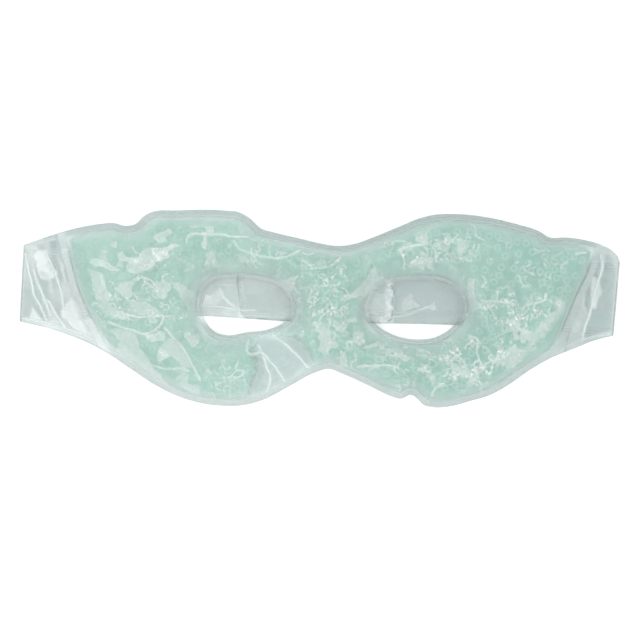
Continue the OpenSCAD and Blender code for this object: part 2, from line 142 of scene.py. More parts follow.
def curve(points, closed=False, steps=8):
    """A smooth curve through the points, as a polyline."""
    p = np.array(points, float)
    n = len(p)
    before = np.roll(p, 1, 0) if closed else np.vstack([p[:1], p[:-1]])
    after = np.roll(p, -1, 0) if closed else np.vstack([p[1:], p[-1:]])
    h0 = np.linalg.norm(p - before, axis=1)[:, None]
    h1 = np.linalg.norm(after - p, axis=1)[:, None]
    lean0 = (p - before) / np.maximum(h0, 1e-9)
    lean1 = (after - p) / np.maximum(h1, 1e-9)
    d = (lean0 * h1 + lean1 * h0) / (h0 + h1)
    if not closed:
        d[0], d[-1] = lean1[0], lean0[-1]
    out = []
    for i in range(n if closed else n - 1):
        j = (i + 1) % n
        h = np.linalg.norm(p[j] - p[i])
        for t in np.arange(steps) / steps:
            u = 1 - t
            out.append(
                p[i] * u * u * (1 + 2 * t) + p[j] * t * t * (1 + 2 * u)
                + d[i] * h * t * u * u - d[j] * h * t * t * u
            )
    if not closed:
        out.append(p[-1])
    return np.array(out)


def right_of(points, line):
    """How far points lie to the right of a line that runs from edge to edge of the mask."""
    rising = line[np.argsort(line[:, 1])]
    return points[:, 0] - np.interp(points[:, 1], rising[:, 1], rising[:, 0])


def line_at(d, at, width):
    """1 where d is at a value, falling to 0 at about the width on both sides."""
    return np.exp(-(((d - at) / width) ** 2))


def lines_at(d, table):
    """One line for each (place, width, strength) of a table."""
    return [strength * line_at(d, at, width) for at, width, strength in table]


def tree_of(points):
    """A search tree over points of the plan."""
    tree = KDTree(len(points))
    for i, (x, y) in enumerate(points):
        tree.insert((x, y, 0), i)
    tree.balance()
    return tree


def distance(points, line, closed=False):
    """Distance from each point to a polyline."""
    best = np.full(len(points), 1e9)
    ends = np.roll(line, -1, 0) if closed else line[1:]
    for a, b in zip(line, ends):
        v = b - a
        size = max(float(v @ v), 1e-12)
        rel = points - a
        t = np.clip(rel @ v / size, 0, 1)
        off = rel - t[:, None] * v
        np.minimum(best, np.einsum("ij,ij->i", off, off), out=best)
    return np.sqrt(best)


def inside(points, loop):
    """Which points lie in a closed polyline."""
    x, y = points[:, 0], points[:, 1]
    hit = np.zeros(len(points), bool)
    for (ax, ay), (bx, by) in zip(loop, np.roll(loop, -1, 0)):
        if ay != by:
            cross = (ay > y) != (by > y)
            hit ^= cross & (x < (bx - ax) * (y - ay) / (by - ay) + ax)
    return hit


def noise(points, size, seed, octaves=3):
    """Smooth noise from 0 to 1 over the plane."""
    grid = np.random.default_rng(seed).random((128, 128))
    total, weight = np.zeros(len(points)), 0.0
    for o in range(octaves):
        u = points * (2**o / size) + 31.7 * (o + 1)
        cell = np.floor(u).astype(int)
        f = u - cell
        f = f * f * f * (f * (f * 6 - 15) + 10)
        i, j = cell[:, 0] % 128, cell[:, 1] % 128
        i1, j1 = (i + 1) % 128, (j + 1) % 128
        low = grid[i, j] * (1 - f[:, 0]) + grid[i1, j] * f[:, 0]
        high = grid[i, j1] * (1 - f[:, 0]) + grid[i1, j1] * f[:, 0]
        total += (low * (1 - f[:, 1]) + high * f[:, 1]) / 2**o
        weight += 1 / 2**o
    return total / weight


def warped(points, size, amount, seed):
    """The points moved about by noise, which makes drawn shapes look grown."""
    dx = noise(points, size, seed, 2) - 0.5
    dy = noise(points, size, seed + 1, 2) - 0.5
    return points + amount * 2 * np.column_stack([dx, dy])


TOP = curve(TOP_EDGE)
BOTTOM = curve(BOTTOM_EDGE)
EYES = [curve(LEFT_EYE, True), curve(RIGHT_EYE, True)]
ENDS = [curve(LEFT_WELD), curve(RIGHT_WELD)]


def on_edge(edge, x):
    return (x, np.interp(x, edge[:, 0], edge[:, 1]))


def seam(low, middle, high):
    return curve([on_edge(BOTTOM, low)] + middle + [on_edge(TOP, high)])


SEAMS = [seam(*LEFT_SEAM), seam(*RIGHT_SEAM)]


def between(edge, low, high):
    return edge[(edge[:, 0] > low) & (edge[:, 0] < high)]


def run_along(line):
    """The distance along a polyline to each of its points."""
    return np.concatenate([[0], np.cumsum(np.linalg.norm(np.diff(line, axis=0), axis=1))])


def at_runs(line, run, at):
    """The points of a polyline at distances along it."""
    return np.column_stack([np.interp(at, run, line[:, k]) for k in (0, 1)])


def resampled(loop, step):
    """A closed polyline with its points evenly spaced."""
    ring = np.vstack([loop, loop[:1]])
    run = run_along(ring)
    count = max(int(run[-1] / step), 8)
    return at_runs(ring, run, np.linspace(0, run[-1], count, endpoint=False))


MASK_LOOP = np.vstack([
    between(BOTTOM, SEAMS[0][0, 0], SEAMS[1][0, 0]),
    SEAMS[1],
    between(TOP, SEAMS[0][-1, 0], SEAMS[1][-1, 0])[::-1],
    SEAMS[0][::-1],
])


# ---------------------------------------------------------------- the mask's height field
class Field:
    """Everything that the films and the gel need to know about points of the plan."""

    def __init__(self, points):
        self.p = points
        self.edge = np.minimum(distance(points, TOP), distance(points, BOTTOM))
        self.eye = [distance(points, loop, True) for loop in EYES]
        in_left = np.where(right_of(points, ENDS[0]) > 0, 1, -1)
        in_right = np.where(right_of(points, ENDS[1]) < 0, 1, -1)
        self.end = np.minimum(
            distance(points, ENDS[0]) * in_left, distance(points, ENDS[1]) * in_right
        )
        # how far inside the nearest weld a point lies
        walls = (self.edge - RIM_W, self.eye[0] - EYE_WELD_W, self.eye[1] - EYE_WELD_W, self.end)
        self.depth = np.minimum.reduce(walls)
        share = np.clip(self.depth / GEL_SHOULDER, 0, 1)
        self.rise = (1 - (1 - share) ** 2) ** RISE_POWER
        # the same with the crests rounded, where two walls are equally near
        crowd = sum(np.exp(-np.clip(w, 0, 60) / CREST_ROUND) for w in walls)
        self.soft_depth = np.minimum(self.depth, -CREST_ROUND * np.log(crowd))
        self.clear = patch(points, CLEAR_PATCH, CLEAR_SOFT, CLEAR_SEED)
        self.thin = patch(points, CLEAR_PATCH, THIN_SOFT, CLEAR_SEED)

    def front(self):
        """Height of the front film's inner side."""
        low = 1 - CLEAR_FRONT_DROP * self.thin
        swell = (noise(self.p, 26, 3, 2) - 0.5) * FRONT_SWELL * smooth(2, 12, self.depth)
        share = np.clip(self.soft_depth / FRONT_SHOULDER, 0, 1)
        gentle = 1 - (1 - share) ** 2
        return WELD_Z + GEL_FRONT_H * gentle * low + swell * low

    def back(self):
        """Height of the back film's inner side, which is flattened over the straps."""
        x, y = self.p[:, 0], self.p[:, 1]
        beside = 1 - band(y, *STRAPS_Y)
        over_straps = BACK_STRAP + (BACK_MIN - BACK_STRAP) * band(x, *OVERLAP_X)
        depth = over_straps + (BACK_MAX - over_straps) * beside
        return WELD_Z - depth * self.rise * (1 - CLEAR_BACK_DROP * self.thin)


def patch(points, outline, soft, seed):
    """1 inside a given outline and 0 outside, with a grown-looking edge."""
    loop = np.array(outline, float)
    out = np.zeros(len(points))
    reach = 4 + soft / 2
    near = np.all((points > loop.min(0) - reach) & (points < loop.max(0) + reach), axis=1)
    if near.any():
        q = warped(warped(points[near], 5.0, 0.9, seed), 1.6, 0.35, seed + 7)
        d = distance(q, loop, True) * np.where(inside(q, loop), 1, -1)
        out[near] = smooth(-soft / 2, soft / 2, d)
    return out


def ridge(points, path, width, seed=0, wander=0.5):
    """1 on a given line, falling to 0 at its width."""
    line = curve(path, False, 5)
    out = np.zeros(len(points))
    near = np.all((points > line.min(0) - 3) & (points < line.max(0) + 3), axis=1)
    if near.any():
        q = warped(points[near], 5.0, wander, seed)
        out[near] = line_at(distance(q, line), 0, width)
    return out


# How dark the clear films look, from 0 to 1: the tabs, the strips outside the end welds, the
# straps, and the straps next to the fold and where both halves lie
TAB_TONE = {"left": 0.22, "right": 0.3}
END_TONE = {"left": 0.05, "right": 0.21}
STRAP_TONE = {"left": 0.36, "right": 0.47}
STRAP_TONE_FOLD = 0.18
STRAP_TONE_BOTH = 0.17
# What the tabs and the end strips take on above and below a strap, where none lies behind
# them, with the strap's edges at the end strips
WEDGE_TONE = {"left": (0.36, 0.12), "right": (0.26, 0.34)}
END_WEDGE_TONE = {"left": (0.34, 0.12), "right": (0.34, 0.28)}
STRAP_AT_END = {"left": (23.6, -4.5), "right": (18.4, -9.4)}
# The cut edges of the films, and the gel-free patch
CUT_TONE = 0.62
EYE_CUT_TONE = 0.3
CLEAR_TONE = 0.35
# The outer rim, with the painted shade it takes on along the top and to the right, and the
# rims round the eye openings, above and below
RIM_TONE, RIM_SHADE_TOP, RIM_SHADE_RIGHT = 0.405, 0.18, 0.095
EYE_RIM_TONE = {"front": (0.0, 0.75), "back": (0.0, 0.4)}
EYE_RIM_REACH = 6

# Weld lines: distance from the edge or weld, half width, strength
RIM_LINES = ((0.8, 0.3, 0.7), (1.9, 0.35, 1.0), (2.9, 0.4, 0.6))
EYE_LINES = ((0.5, 0.25, 0.6), (1.5, 0.35, 1.0))
EYE_CORNER_LINES = ((2.6, 0.4, 0.9), (3.6, 0.4, 0.7), (4.7, 0.45, 0.4))
END_LINES = ((-0.4, 0.4, 1.0), (1.4, 0.4, 0.7), (-1.6, 0.4, 0.8))
TAB_LINES = ((1.9, 0.35, 1.0), (0.9, 0.3, 0.6))
STRAP_LINES = ((1.5, 0.35, 1.0), (2.6, 0.35, 0.8))
# The bar seal on the left brow: line, strength
BAR_SEAL = (
    ([(-68, 36.9), (-50, 37.1), (-33, 36.6)], 1.0),
    ([(-66, 35.6), (-50, 35.8), (-35, 35.4)], 0.7),
)

# The gel-free patch under the left eye: softness of its edge, and of the gel's slope there
CLEAR_SOFT = 3.6
THIN_SOFT = 8.0
CLEAR_SEED = 41
CLEAR_FRONT_DROP = 0.35
CLEAR_BACK_DROP = 0.75
CLEAR_PATCH = [
    (-23, -11), (-10, -11.5), (-6, -15), (-3, -22), (-10, -28), (-18.5, -33.5),
    (-28, -35), (-27.5, -30), (-25, -25), (-25, -20), (-27, -17),
]
# Air gaps between film and gel: outline, strength of the painted reflection on them
PATCHES = [
    ([(-92, 18.5), (-89.5, 20), (-85.5, 19.5), (-82.5, 18), (-79, 15.5), (-80.5, 15),
      (-85, 16), (-89, 16)], 1.0),
    ([(-80, 22), (-78, 23), (-76.5, 20.5), (-73, 19.5), (-70.5, 22), (-69, 24), (-64, 24.5),
      (-58, 25), (-55.5, 24.5), (-60.5, 23), (-59.5, 20.5), (-64, 18.5), (-67, 16),
      (-69, 14.5), (-74, 14), (-76.5, 14.5), (-77, 16.5), (-75.5, 18.5), (-79.5, 19)], 0.95),
    ([(-92, 16), (-89.5, 15.5), (-86.5, 14.5), (-85.5, 11), (-85.5, 8), (-83, 4.5), (-84, 3),
      (-82, 0), (-77.5, -3), (-74, -5), (-77.5, -5), (-82.5, -3), (-86.5, -0.5),
      (-88.5, 3), (-90, 8), (-90.5, 12)], 0.8),
    ([(-81.5, 8), (-78, 10.5), (-74.5, 11), (-73, 10.5), (-74.5, 8), (-74, 5.5), (-76.5, 3),
      (-79, 5.5)], 0.9),
    ([(-77.5, 3.5), (-73, 3), (-69, 2.5), (-64.5, -0.5), (-62.5, -2.5), (-64.5, -3.5),
      (-69.5, -3), (-74, -1)], 0.7),
    ([(-58.5, 11), (-56, 10.5), (-53, 8), (-49.5, 5.5), (-51, 3.5), (-52, 0), (-54.5, 3.5),
      (-57.5, 7.5)], 0.7),
    ([(-84, -7.5), (-77.5, -8.5), (-73, -10.5), (-72, -15), (-69.5, -19), (-65.5, -24),
      (-61.5, -29), (-58.5, -33), (-63, -31), (-67, -27.5), (-71.5, -24), (-77.5, -20),
      (-81.5, -16.5), (-80, -13), (-82, -10.5)], 0.75),
    ([(-64, -16.5), (-60.5, -11.5), (-58, -11.5), (-55.5, -16), (-52, -20), (-50.5, -22.5),
      (-53.5, -23.5), (-58.5, -20), (-64, -20)], 0.85),
    ([(-54.5, -24), (-51.5, -26.5), (-52, -30), (-47, -31), (-48, -34.5), (-53.5, -32.5),
      (-55.5, -28.5)], 0.7),
    ([(-32.5, 21.5), (-28.5, 20.5), (-24, 19), (-26, 17.5), (-31, 18.5)], 0.85),
    ([(-18.5, 10.5), (-14, 11.5), (-8, 13), (-9, 10.5), (-11.5, 6), (-15, 8), (-18.5, 9)],
     0.9),
    ([(54.5, 28), (60, 26.5), (58.5, 23), (56, 20), (55, 23)], 0.75),
    ([(47.5, 26.5), (51, 27), (52, 24.5), (51, 22), (48.5, 23), (45, 23.5), (46.5, 24.5)],
     0.7),
    ([(38.5, 20.5), (42.5, 18.5), (42, 15), (38.5, 16.5), (34.5, 16), (36, 18)], 0.8),
    ([(41.5, 22), (44.5, 20), (45.5, 16), (43.5, 16.5), (42, 19)], 0.9),
    ([(20, 14), (22.5, 16), (23.5, 13.5), (27.5, 11), (23, 9), (21.5, 6), (17.5, 5.5),
      (12, 4), (10, 3), (9.5, 5), (14, 7), (17, 9.5)], 0.9),
    ([(60, 12.5), (62.5, 11.5), (62, 7), (62.5, 3), (65.5, 0), (62, -1), (60, 0.5),
      (60, 5.5), (59, 8.5)], 0.9),
    ([(59.5, 14), (57.5, 10.5), (57, 6), (58, 2), (55.5, 4.5), (56, 9.5)], 0.7),
    ([(10, -5), (14.5, -3.5), (15.5, -5), (10.5, -6.5)], 0.9),
    ([(17.5, -15), (24, -13), (23, -15), (19, -16)], 0.9),
    ([(9, -16.5), (10.5, -18.5), (11.5, -24), (8, -23.5)], 0.9),
    ([(13.5, -16), (15.5, -18.5), (14, -21)], 0.8),
    ([(42, -24), (45.5, -26.5), (44.5, -31)], 0.9),
    ([(62.5, -23), (63.5, -27.5), (61, -28.5)], 0.9),
    ([(57.5, -24), (59.5, -27.5), (57, -27.5)], 0.9),
    ([(74.5, -5), (79.5, -3), (80.5, -5), (77, -7), (74, -6.5)], 0.8),
    ([(39, -15.5), (43.5, -16.5), (46.5, -18.5), (45, -20), (40, -19)], 0.5),
]
# A broad air gap with a soft edge along the right end, with a painted soft reflection
SOFT_BAND = [
    (94, 4.5), (97.5, 2), (97, -1), (91.5, -8), (87, -13), (82, -18.5), (77, -23.5),
    (74, -24), (73.5, -20), (77, -17.5), (83, -15), (84.5, -10.5), (89, -5.5), (94, -0.5),
]
# Creases of the front film, with painted highlights: line, width, strength
CREASES = [
    ([(-53, 27), (-52, 29), (-47, 29.5), (-37, 29), (-28.5, 28.5)], 0.5, 0.9),
    ([(-34, 27), (-32, 24), (-26.5, 21.5), (-20, 20.5), (-14, 20.5), (-8, 23)], 0.5, 0.7),
    ([(-17.5, 19.5), (-12.5, 20.5), (-9, 22)], 0.45, 0.6),
    ([(-61.5, -7.5), (-58, -11.5), (-54.5, -16), (-52, -20), (-49.5, -24), (-48, -28.5)],
     0.5, 0.9),
    ([(-66.5, -22.5), (-60.5, -24), (-54.5, -24), (-52, -25)], 0.45, 0.7),
    ([(-82.5, 0), (-79, -1.5), (-74, -3), (-69, -3.5), (-64.5, -3), (-62.5, -2.5),
      (-62.5, -5), (-65.5, -8.5), (-69.5, -10), (-75.5, -8.5), (-80.5, -6.5), (-84, -5.5)],
     0.5, 0.9),
    ([(-74, 11), (-69.5, 12), (-66.5, 10.5), (-64.5, 8), (-67, 9), (-69.5, 10.5)], 0.5, 0.8),
    ([(-19, -11), (-14, -14), (-9, -18.5), (-4.5, -23.5)], 0.5, 1.0),
    ([(-24, -16), (-21, -19), (-16.5, -25), (-13, -30)], 0.5, 1.0),
    ([(-23.5, -16.5), (-21.5, -21.5), (-20, -28.5), (-21.5, -34), (-25, -36)], 0.5, 1.0),
    ([(-28, -12.5), (-29, -16), (-26.5, -18.5), (-23.5, -16), (-24.5, -14.5)], 0.45, 1.0),
    ([(-32.5, -21), (-33.5, -24), (-30, -25), (-32, -27.5), (-34.5, -27.5)], 0.4, 0.9),
    ([(31.5, 23), (33.5, 24), (38.5, 25), (41.5, 25.5)], 0.5, 1.0),
    ([(32.5, 23.5), (33.5, 20.5), (33.5, 16)], 0.4, 0.9),
    ([(28.5, 25.5), (30.5, 27), (34, 27)], 0.4, 0.6),
    ([(15.5, -23.5), (21.5, -22.5), (27.5, -22.5), (31.5, -22.5), (32, -21.5)], 0.4, 0.9),
    ([(64.5, 3.5), (69.5, 3), (75.5, 2.5)], 0.4, 0.8),
    ([(80.5, 0), (83, 1.5), (87, 2.5), (89.5, 3.5), (90, 6)], 0.45, 0.9),
    ([(60, -14), (61, -11.5), (62.5, -12.5), (62.5, -16), (63.5, -20), (65.5, -24),
      (67.5, -26), (69, -22.5), (68.5, -20)], 0.4, 0.9),
    ([(52, -17.5), (54.5, -18.5), (57, -21), (58.5, -24)], 0.4, 0.8),
    ([(45, -34.5), (46.5, -31.5), (49.5, -30)], 0.4, 0.9),
    ([(-7, 19), (-2, 16), (4, 17), (9, 20)], 0.4, 0.6),
    ([(-8, 8), (0, 9), (8, 9.5)], 0.4, 0.6),
]
# Where small curls of creased film crowd: centre, radii, how many
CURL_AREAS = [
    ((2, 2), (13, 20), 60),
    ((28, -20), (14, 8), 16),
    ((62, -22), (17, 11), 42),
    ((78, 0), (14, 8), 26),
    ((48, 24), (20, 7), 30),
    ((-40, -26), (12, 8), 18),
    ((-24, 22), (14, 6), 14),
    ((88, 16), (12, 8), 12),
    ((-86, 4), (8, 14), 12),
    ((-66, 6), (22, 18), 18),
    ((36, -32), (8, 5), 6),
]


def curls():
    """Short curved creases, placed at random but always the same."""
    draw = np.random.default_rng(11)
    out = []
    for centre, radii, count in CURL_AREAS:
        for _ in range(count):
            at = np.array(centre) + np.array(radii) * draw.normal(0, 0.5, 2)
            heading, bend = draw.uniform(0, 2 * math.pi), draw.uniform(-1.1, 1.1)
            path, step = [at], draw.uniform(0.5, 1.3)
            for _ in range(4):
                heading += bend
                path.append(path[-1] + step * np.array([math.cos(heading), math.sin(heading)]))
            out.append((path, draw.uniform(0.24, 0.36), draw.uniform(0.4, 1.0)))
    return out


# How far the relief of the front film stands up (mm), and how light each kind looks: painted
# reflections on the gaps and the band, and the weld rings
PATCH_LIFT, PATCH_SHEEN, PATCH_EDGE_SHEEN = 0.34, 0.74, 0.85
BAND_LIFT, BAND_SHEEN = 0.3, 0.75
SMALL_GAP_LIFT, SMALL_GAP_SHEEN = 0.2, 0.6
RING_LIFT, RING_VEIL = 0.16, 0.42
CREASE_LIFT = 0.42


def rim_tones(f, film):
    """How dark the welded rims, cut edges and gel-free patch of a mask film look."""
    x, y = f.p[:, 0], f.p[:, 1]
    # painted shade: the outer rim darker along the top and to the right, where less light falls
    outer = RIM_TONE + RIM_SHADE_TOP * smooth(-15, 15, y) + RIM_SHADE_RIGHT * smooth(-60, 60, x)
    high, low = EYE_RIM_TONE[film]
    by_eye = high + (low - high) * smooth(-2, -8, y)
    rim = np.where(np.minimum(*f.eye) < EYE_RIM_REACH, by_eye, outer)
    ends = []
    for word in ("left", "right"):
        (above, below), (top, bottom) = END_WEDGE_TONE[word], STRAP_AT_END[word]
        tone = END_TONE[word] + above * smooth(-0.3, 0.3, y - top)
        ends.append(tone + below * smooth(0.3, -0.3, y - bottom))
    rim = rim + (np.where(x < 0, *ends) - rim) * smooth(1.0, -0.5, f.end)
    tone = np.maximum(rim * smooth(1.4, -0.7, f.depth), CLEAR_TONE * f.clear)
    return np.maximum(tone, CUT_TONE * smooth(0.75, 0.25, f.edge))


def weld_rings(f):
    """Double lines of the welds, rings at the eye openings and the bar seal."""
    rings = np.maximum.reduce(lines_at(f.edge, RIM_LINES))
    for away, loop in zip(f.eye, (LEFT_EYE, RIGHT_EYE)):
        (start, _), (end, _) = min(loop), max(loop)
        from_middle = np.abs(f.p[:, 0] - (start + end) / 2) / (end - start) * 2
        corners = np.maximum.reduce(lines_at(away, EYE_CORNER_LINES)) * smooth(0.5, 1, from_middle)
        rings = np.maximum.reduce([rings, corners] + lines_at(away, EYE_LINES))
    bars = [strength * ridge(f.p, line, 0.35) for line, strength in BAR_SEAL]
    return np.maximum.reduce([rings, sum(lines_at(f.end, END_LINES))] + bars)


def front_relief(f):
    """(lift in mm, painted sheen and weld lines, tone, crowding of fine creases) of the front film
    over the mask.
    """
    p, lift, painted_sheen_and_marks = f.p, np.zeros(len(f.p)), np.zeros(len(f.p))
    # painted reflections on the air gaps, lightest along their edges
    for k, (outline, strength) in enumerate(PATCHES):
        shape = patch(p, outline, 0.35, 50 + 3 * k)
        lift = np.maximum(lift, PATCH_LIFT * shape)
        mottle = 0.72 + 0.28 * smooth(0.35, 0.6, noise(p, 5, 70 + k, 2))
        painted_sheen_and_marks = np.maximum(painted_sheen_and_marks, PATCH_SHEEN * strength * shape * mottle)
        painted_sheen_and_marks = np.maximum(painted_sheen_and_marks, PATCH_EDGE_SHEEN * strength * line_at(shape, 0.5, 0.3))
    # a painted soft reflection on the broad air gap at the right end
    soft = patch(p, SOFT_BAND, 3.0, 21) * (0.7 + 0.3 * smooth(0.3, 0.6, noise(p, 5, 22)))
    lift = np.maximum(lift, BAND_LIFT * soft)
    painted_sheen_and_marks = np.maximum(painted_sheen_and_marks, BAND_SHEEN * soft)
    # painted highlights along the creases and the curls
    for k, (path, width, strength) in enumerate(CREASES + curls()):
        line = ridge(p, path, width, 200 + 2 * (k % 40), 0.5 if k < len(CREASES) else 0.2)
        lift = lift + CREASE_LIFT * strength * line
        painted_sheen_and_marks = np.maximum(painted_sheen_and_marks, strength * line)
    # small air gaps that follow the beads, with painted reflections
    open_gel = smooth(2, 6, f.depth) * (1 - f.clear)
    small = smooth(0.63, 0.66, noise(p, 6.5, 31, 3)) * smooth(0.45, 0.6, noise(p, 30, 32, 2))
    painted_sheen_and_marks = np.maximum(painted_sheen_and_marks, SMALL_GAP_SHEEN * small * open_gel)
    lift = np.maximum(lift, SMALL_GAP_LIFT * small * open_gel)
    rings = weld_rings(f)
    lift = lift * smooth(-0.3, 1.0, f.depth) + RING_LIFT * rings
    painted_sheen_and_marks = np.maximum(painted_sheen_and_marks * smooth(-1.0, 0.6, f.depth), RING_VEIL * rings)
    eye_cut = EYE_CUT_TONE * smooth(0.75, 0.25, np.minimum(*f.eye))
    tone = np.maximum(rim_tones(f, "front"), eye_cut)
    busy = np.zeros(len(p))
    for centre, radii, count in CURL_AREAS:
        away = np.linalg.norm((p - np.array(centre)) / (1.3 * np.array(radii)), axis=1)
        busy = np.maximum(busy, smooth(1.25, 0.5, away) * min(1, count / 26))
    busy = np.maximum(busy, 0.3) * smooth(1, 3, f.depth) * (1 - f.clear)
    return lift, painted_sheen_and_marks, tone, busy


# ---------------------------------------------------------------- meshes
def kept_mesh(points, tris):
    """The points that the triangles use, the triangles renumbered, and the points' old numbers."""
    used = np.unique(tris)
    renumber = np.full(len(points), -1)
    renumber[used] = np.arange(len(used))
    return points[used], renumber[tris], used


def triangulated(loop, holes, step):
    """An even triangle mesh of a region: plan points and triangles."""
    rings = [resampled(r, step) for r in [loop] + holes]
    low, high = loop.min(0), loop.max(0)
    rows = np.arange(low[1], high[1], step * math.sqrt(3) / 2)
    lattice = []
    for k, y in enumerate(rows):
        x = np.arange(low[0] + (k % 2) * step / 2, high[0], step)
        lattice.append(np.column_stack([x, np.full(len(x), y)]))
    lattice = np.vstack(lattice)
    keep = inside(lattice, rings[0])
    for ring in rings[1:]:
        keep &= ~inside(lattice, ring)
    lattice = lattice[keep]
    clear_of = np.minimum.reduce([distance(lattice, r, True) for r in rings])
    lattice = lattice[clear_of > 0.55 * step]
    edges, first = [], 0
    for ring in rings:
        n = len(ring)
        edges += [(first + i, first + (i + 1) % n) for i in range(n)]
        first += n
    points = np.vstack(rings + [lattice])
    made = delaunay_2d_cdt([Vector(q) for q in points], edges, [], 0, 1e-6, False)
    points = np.array([tuple(v) for v in made[0]])
    tris = np.array(made[2])
    middle = points[tris].mean(1)
    keep = inside(middle, rings[0])
    for ring in rings[1:]:
        keep &= ~inside(middle, ring)
    tris = tris[keep]
    a, b, c = (points[tris[:, k]] for k in range(3))
    turn = (b[:, 0] - a[:, 0]) * (c[:, 1] - a[:, 1]) - (b[:, 1] - a[:, 1]) * (c[:, 0] - a[:, 0])
    tris = tris[np.abs(turn) > 1e-6]
    turn = turn[np.abs(turn) > 1e-6]
    tris[turn < 0] = tris[turn < 0][:, ::-1]
    return kept_mesh(points, tris)[:2]


def mesh_object(name, points, tris, material, attributes=None, sharp=60):
    """A smooth-shaded object from points in millimetres and triangles."""
    mesh = bpy.data.meshes.new(name)
    mesh.vertices.add(len(points))
    mesh.vertices.foreach_set("co", (np.asarray(points) * MM).astype(np.float32).ravel())
    mesh.loops.add(3 * len(tris))
    mesh.loops.foreach_set("vertex_index", np.asarray(tris, np.int32).ravel())
    mesh.polygons.add(len(tris))
    mesh.polygons.foreach_set("loop_start", np.arange(0, 3 * len(tris), 3, dtype=np.int32))
    mesh.polygons.foreach_set("use_smooth", np.ones(len(tris), bool))
    mesh.update(calc_edges=True)
    for key, values in (attributes or {}).items():
        data = mesh.attributes.new(key, "FLOAT", "POINT")
        data.data.foreach_set("value", np.asarray(values, np.float32))
    mesh.set_sharp_from_angle(angle=math.radians(sharp))
    mesh.materials.append(material)
    obj = bpy.data.objects.new(name, mesh)
    scene.collection.objects.link(obj)
    return obj


def closed_sheet(upper, lower, tris):
    """Points and triangles of a closed sheet between two skins with the same triangles."""
    n = len(upper)
    sides = np.vstack([tris[:, [0, 1]], tris[:, [1, 2]], tris[:, [2, 0]]])
    key = np.sort(sides, axis=1)
    _, index, uses = np.unique(key, axis=0, return_index=True, return_counts=True)
    rim = sides[index[uses == 1]]
    a, b = rim[:, 0], rim[:, 1]
    faces = np.vstack([
        tris, tris[:, ::-1] + n,
        np.column_stack([b, a, a + n]), np.column_stack([b, a + n, b + n]),
    ])
    return np.vstack([upper, lower]), faces


def raised(plan, z):
    return np.column_stack([plan, z])


def shell(name, upper, lower, tris, material, attributes):
    """A closed sheet between two skins as an object."""
    points, faces = closed_sheet(upper, lower, tris)
    both = {k: np.concatenate([v, v]) for k, v in attributes.items()}
    return mesh_object(name, points, faces, material, both)


# ---------------------------------------------------------------- materials
class Nodes:
    """Short ways to add and join shader nodes."""

    def __init__(self, name):
        self.mat = bpy.data.materials.new(name)
        self.mat.use_nodes = True
        self.nodes, self.links = self.mat.node_tree.nodes, self.mat.node_tree.links
        self.nodes.clear()

    def add(self, kind, inputs=None, **values):
        """A node with its inputs, as socket and value or other socket, and its settings."""
        node = self.nodes.new(kind)
        for key, value in values.items():
            setattr(node, key, value)
        for socket, value in (inputs or {}).items():
            if isinstance(value, bpy.types.NodeSocket):
                self.links.new(value, node.inputs[socket])
            else:
                colour = node.inputs[socket].type == "RGBA"
                node.inputs[socket].default_value = (*value, 1) if colour else value
        return node

    def math(self, operation, a, b=0.0, clamp=False):
        node = self.add("ShaderNodeMath", {0: a, 1: b}, operation=operation, use_clamp=clamp)
        return node.outputs[0]

    def scaled(self, value, factor, base, clamp=False):
        """value * factor + base"""
        out = self.math("MULTIPLY_ADD", value, factor, clamp)
        out.node.inputs[2].default_value = base
        return out

    def attribute(self, name):
        return self.add("ShaderNodeAttribute", attribute_name=name).outputs["Fac"]

    def at_object(self, kind, inputs, **values):
        """A texture laid over the object."""
        spot = self.add("ShaderNodeTexCoord").outputs["Object"]
        return self.add(kind, {"Vector": spot, **inputs}, **values).outputs["Fac"]

    def noise(self, scale, detail=3.0, rough=0.5, warp=0.0):
        inputs = {"Scale": scale, "Detail": detail, "Roughness": rough, "Distortion": warp}
        return self.at_object("ShaderNodeTexNoise", inputs)

    def black_to_white(self, value, low, high):
        node = self.add("ShaderNodeValToRGB", {0: value})
        for mark, at, grey in zip(node.color_ramp.elements, (low, high), (0, 1)):
            mark.position = at
            mark.color = (grey, grey, grey, 1)
        return node.outputs[0]

    def mix_colour(self, share, a, b):
        return self.add("ShaderNodeMix", {0: share, 6: a, 7: b}, data_type="RGBA").outputs[2]

    def bump(self, height, strength, distance_m):
        inputs = {"Strength": strength, "Distance": distance_m, "Height": height}
        return self.add("ShaderNodeBump", inputs).outputs[0]

    def slant(self, power):
        """0 where a face is seen straight on, 1 where it is seen edge on."""
        node = self.add("ShaderNodeLayerWeight", {"Blend": 0.5})
        return self.math("POWER", node.outputs["Facing"], power)

    def skin(self, **inputs):
        """A Principled shader, with its inputs named as on the node, _ for a space."""
        named = {key.replace("_", " "): value for key, value in inputs.items()}
        return self.add("ShaderNodeBsdfPrincipled", named).outputs[0]

    def over_clear(self, cover, tint, skin):
        """The skin where cover is 1, and a clear tint where it is 0."""
        clear = self.add("ShaderNodeBsdfTransparent", {"Color": tint}).outputs[0]
        return self.add("ShaderNodeMixShader", {0: cover, 1: clear, 2: skin}).outputs[0]

    def finish(self, shader):
        self.add("ShaderNodeOutputMaterial", {"Surface": shader})
        return self.mat


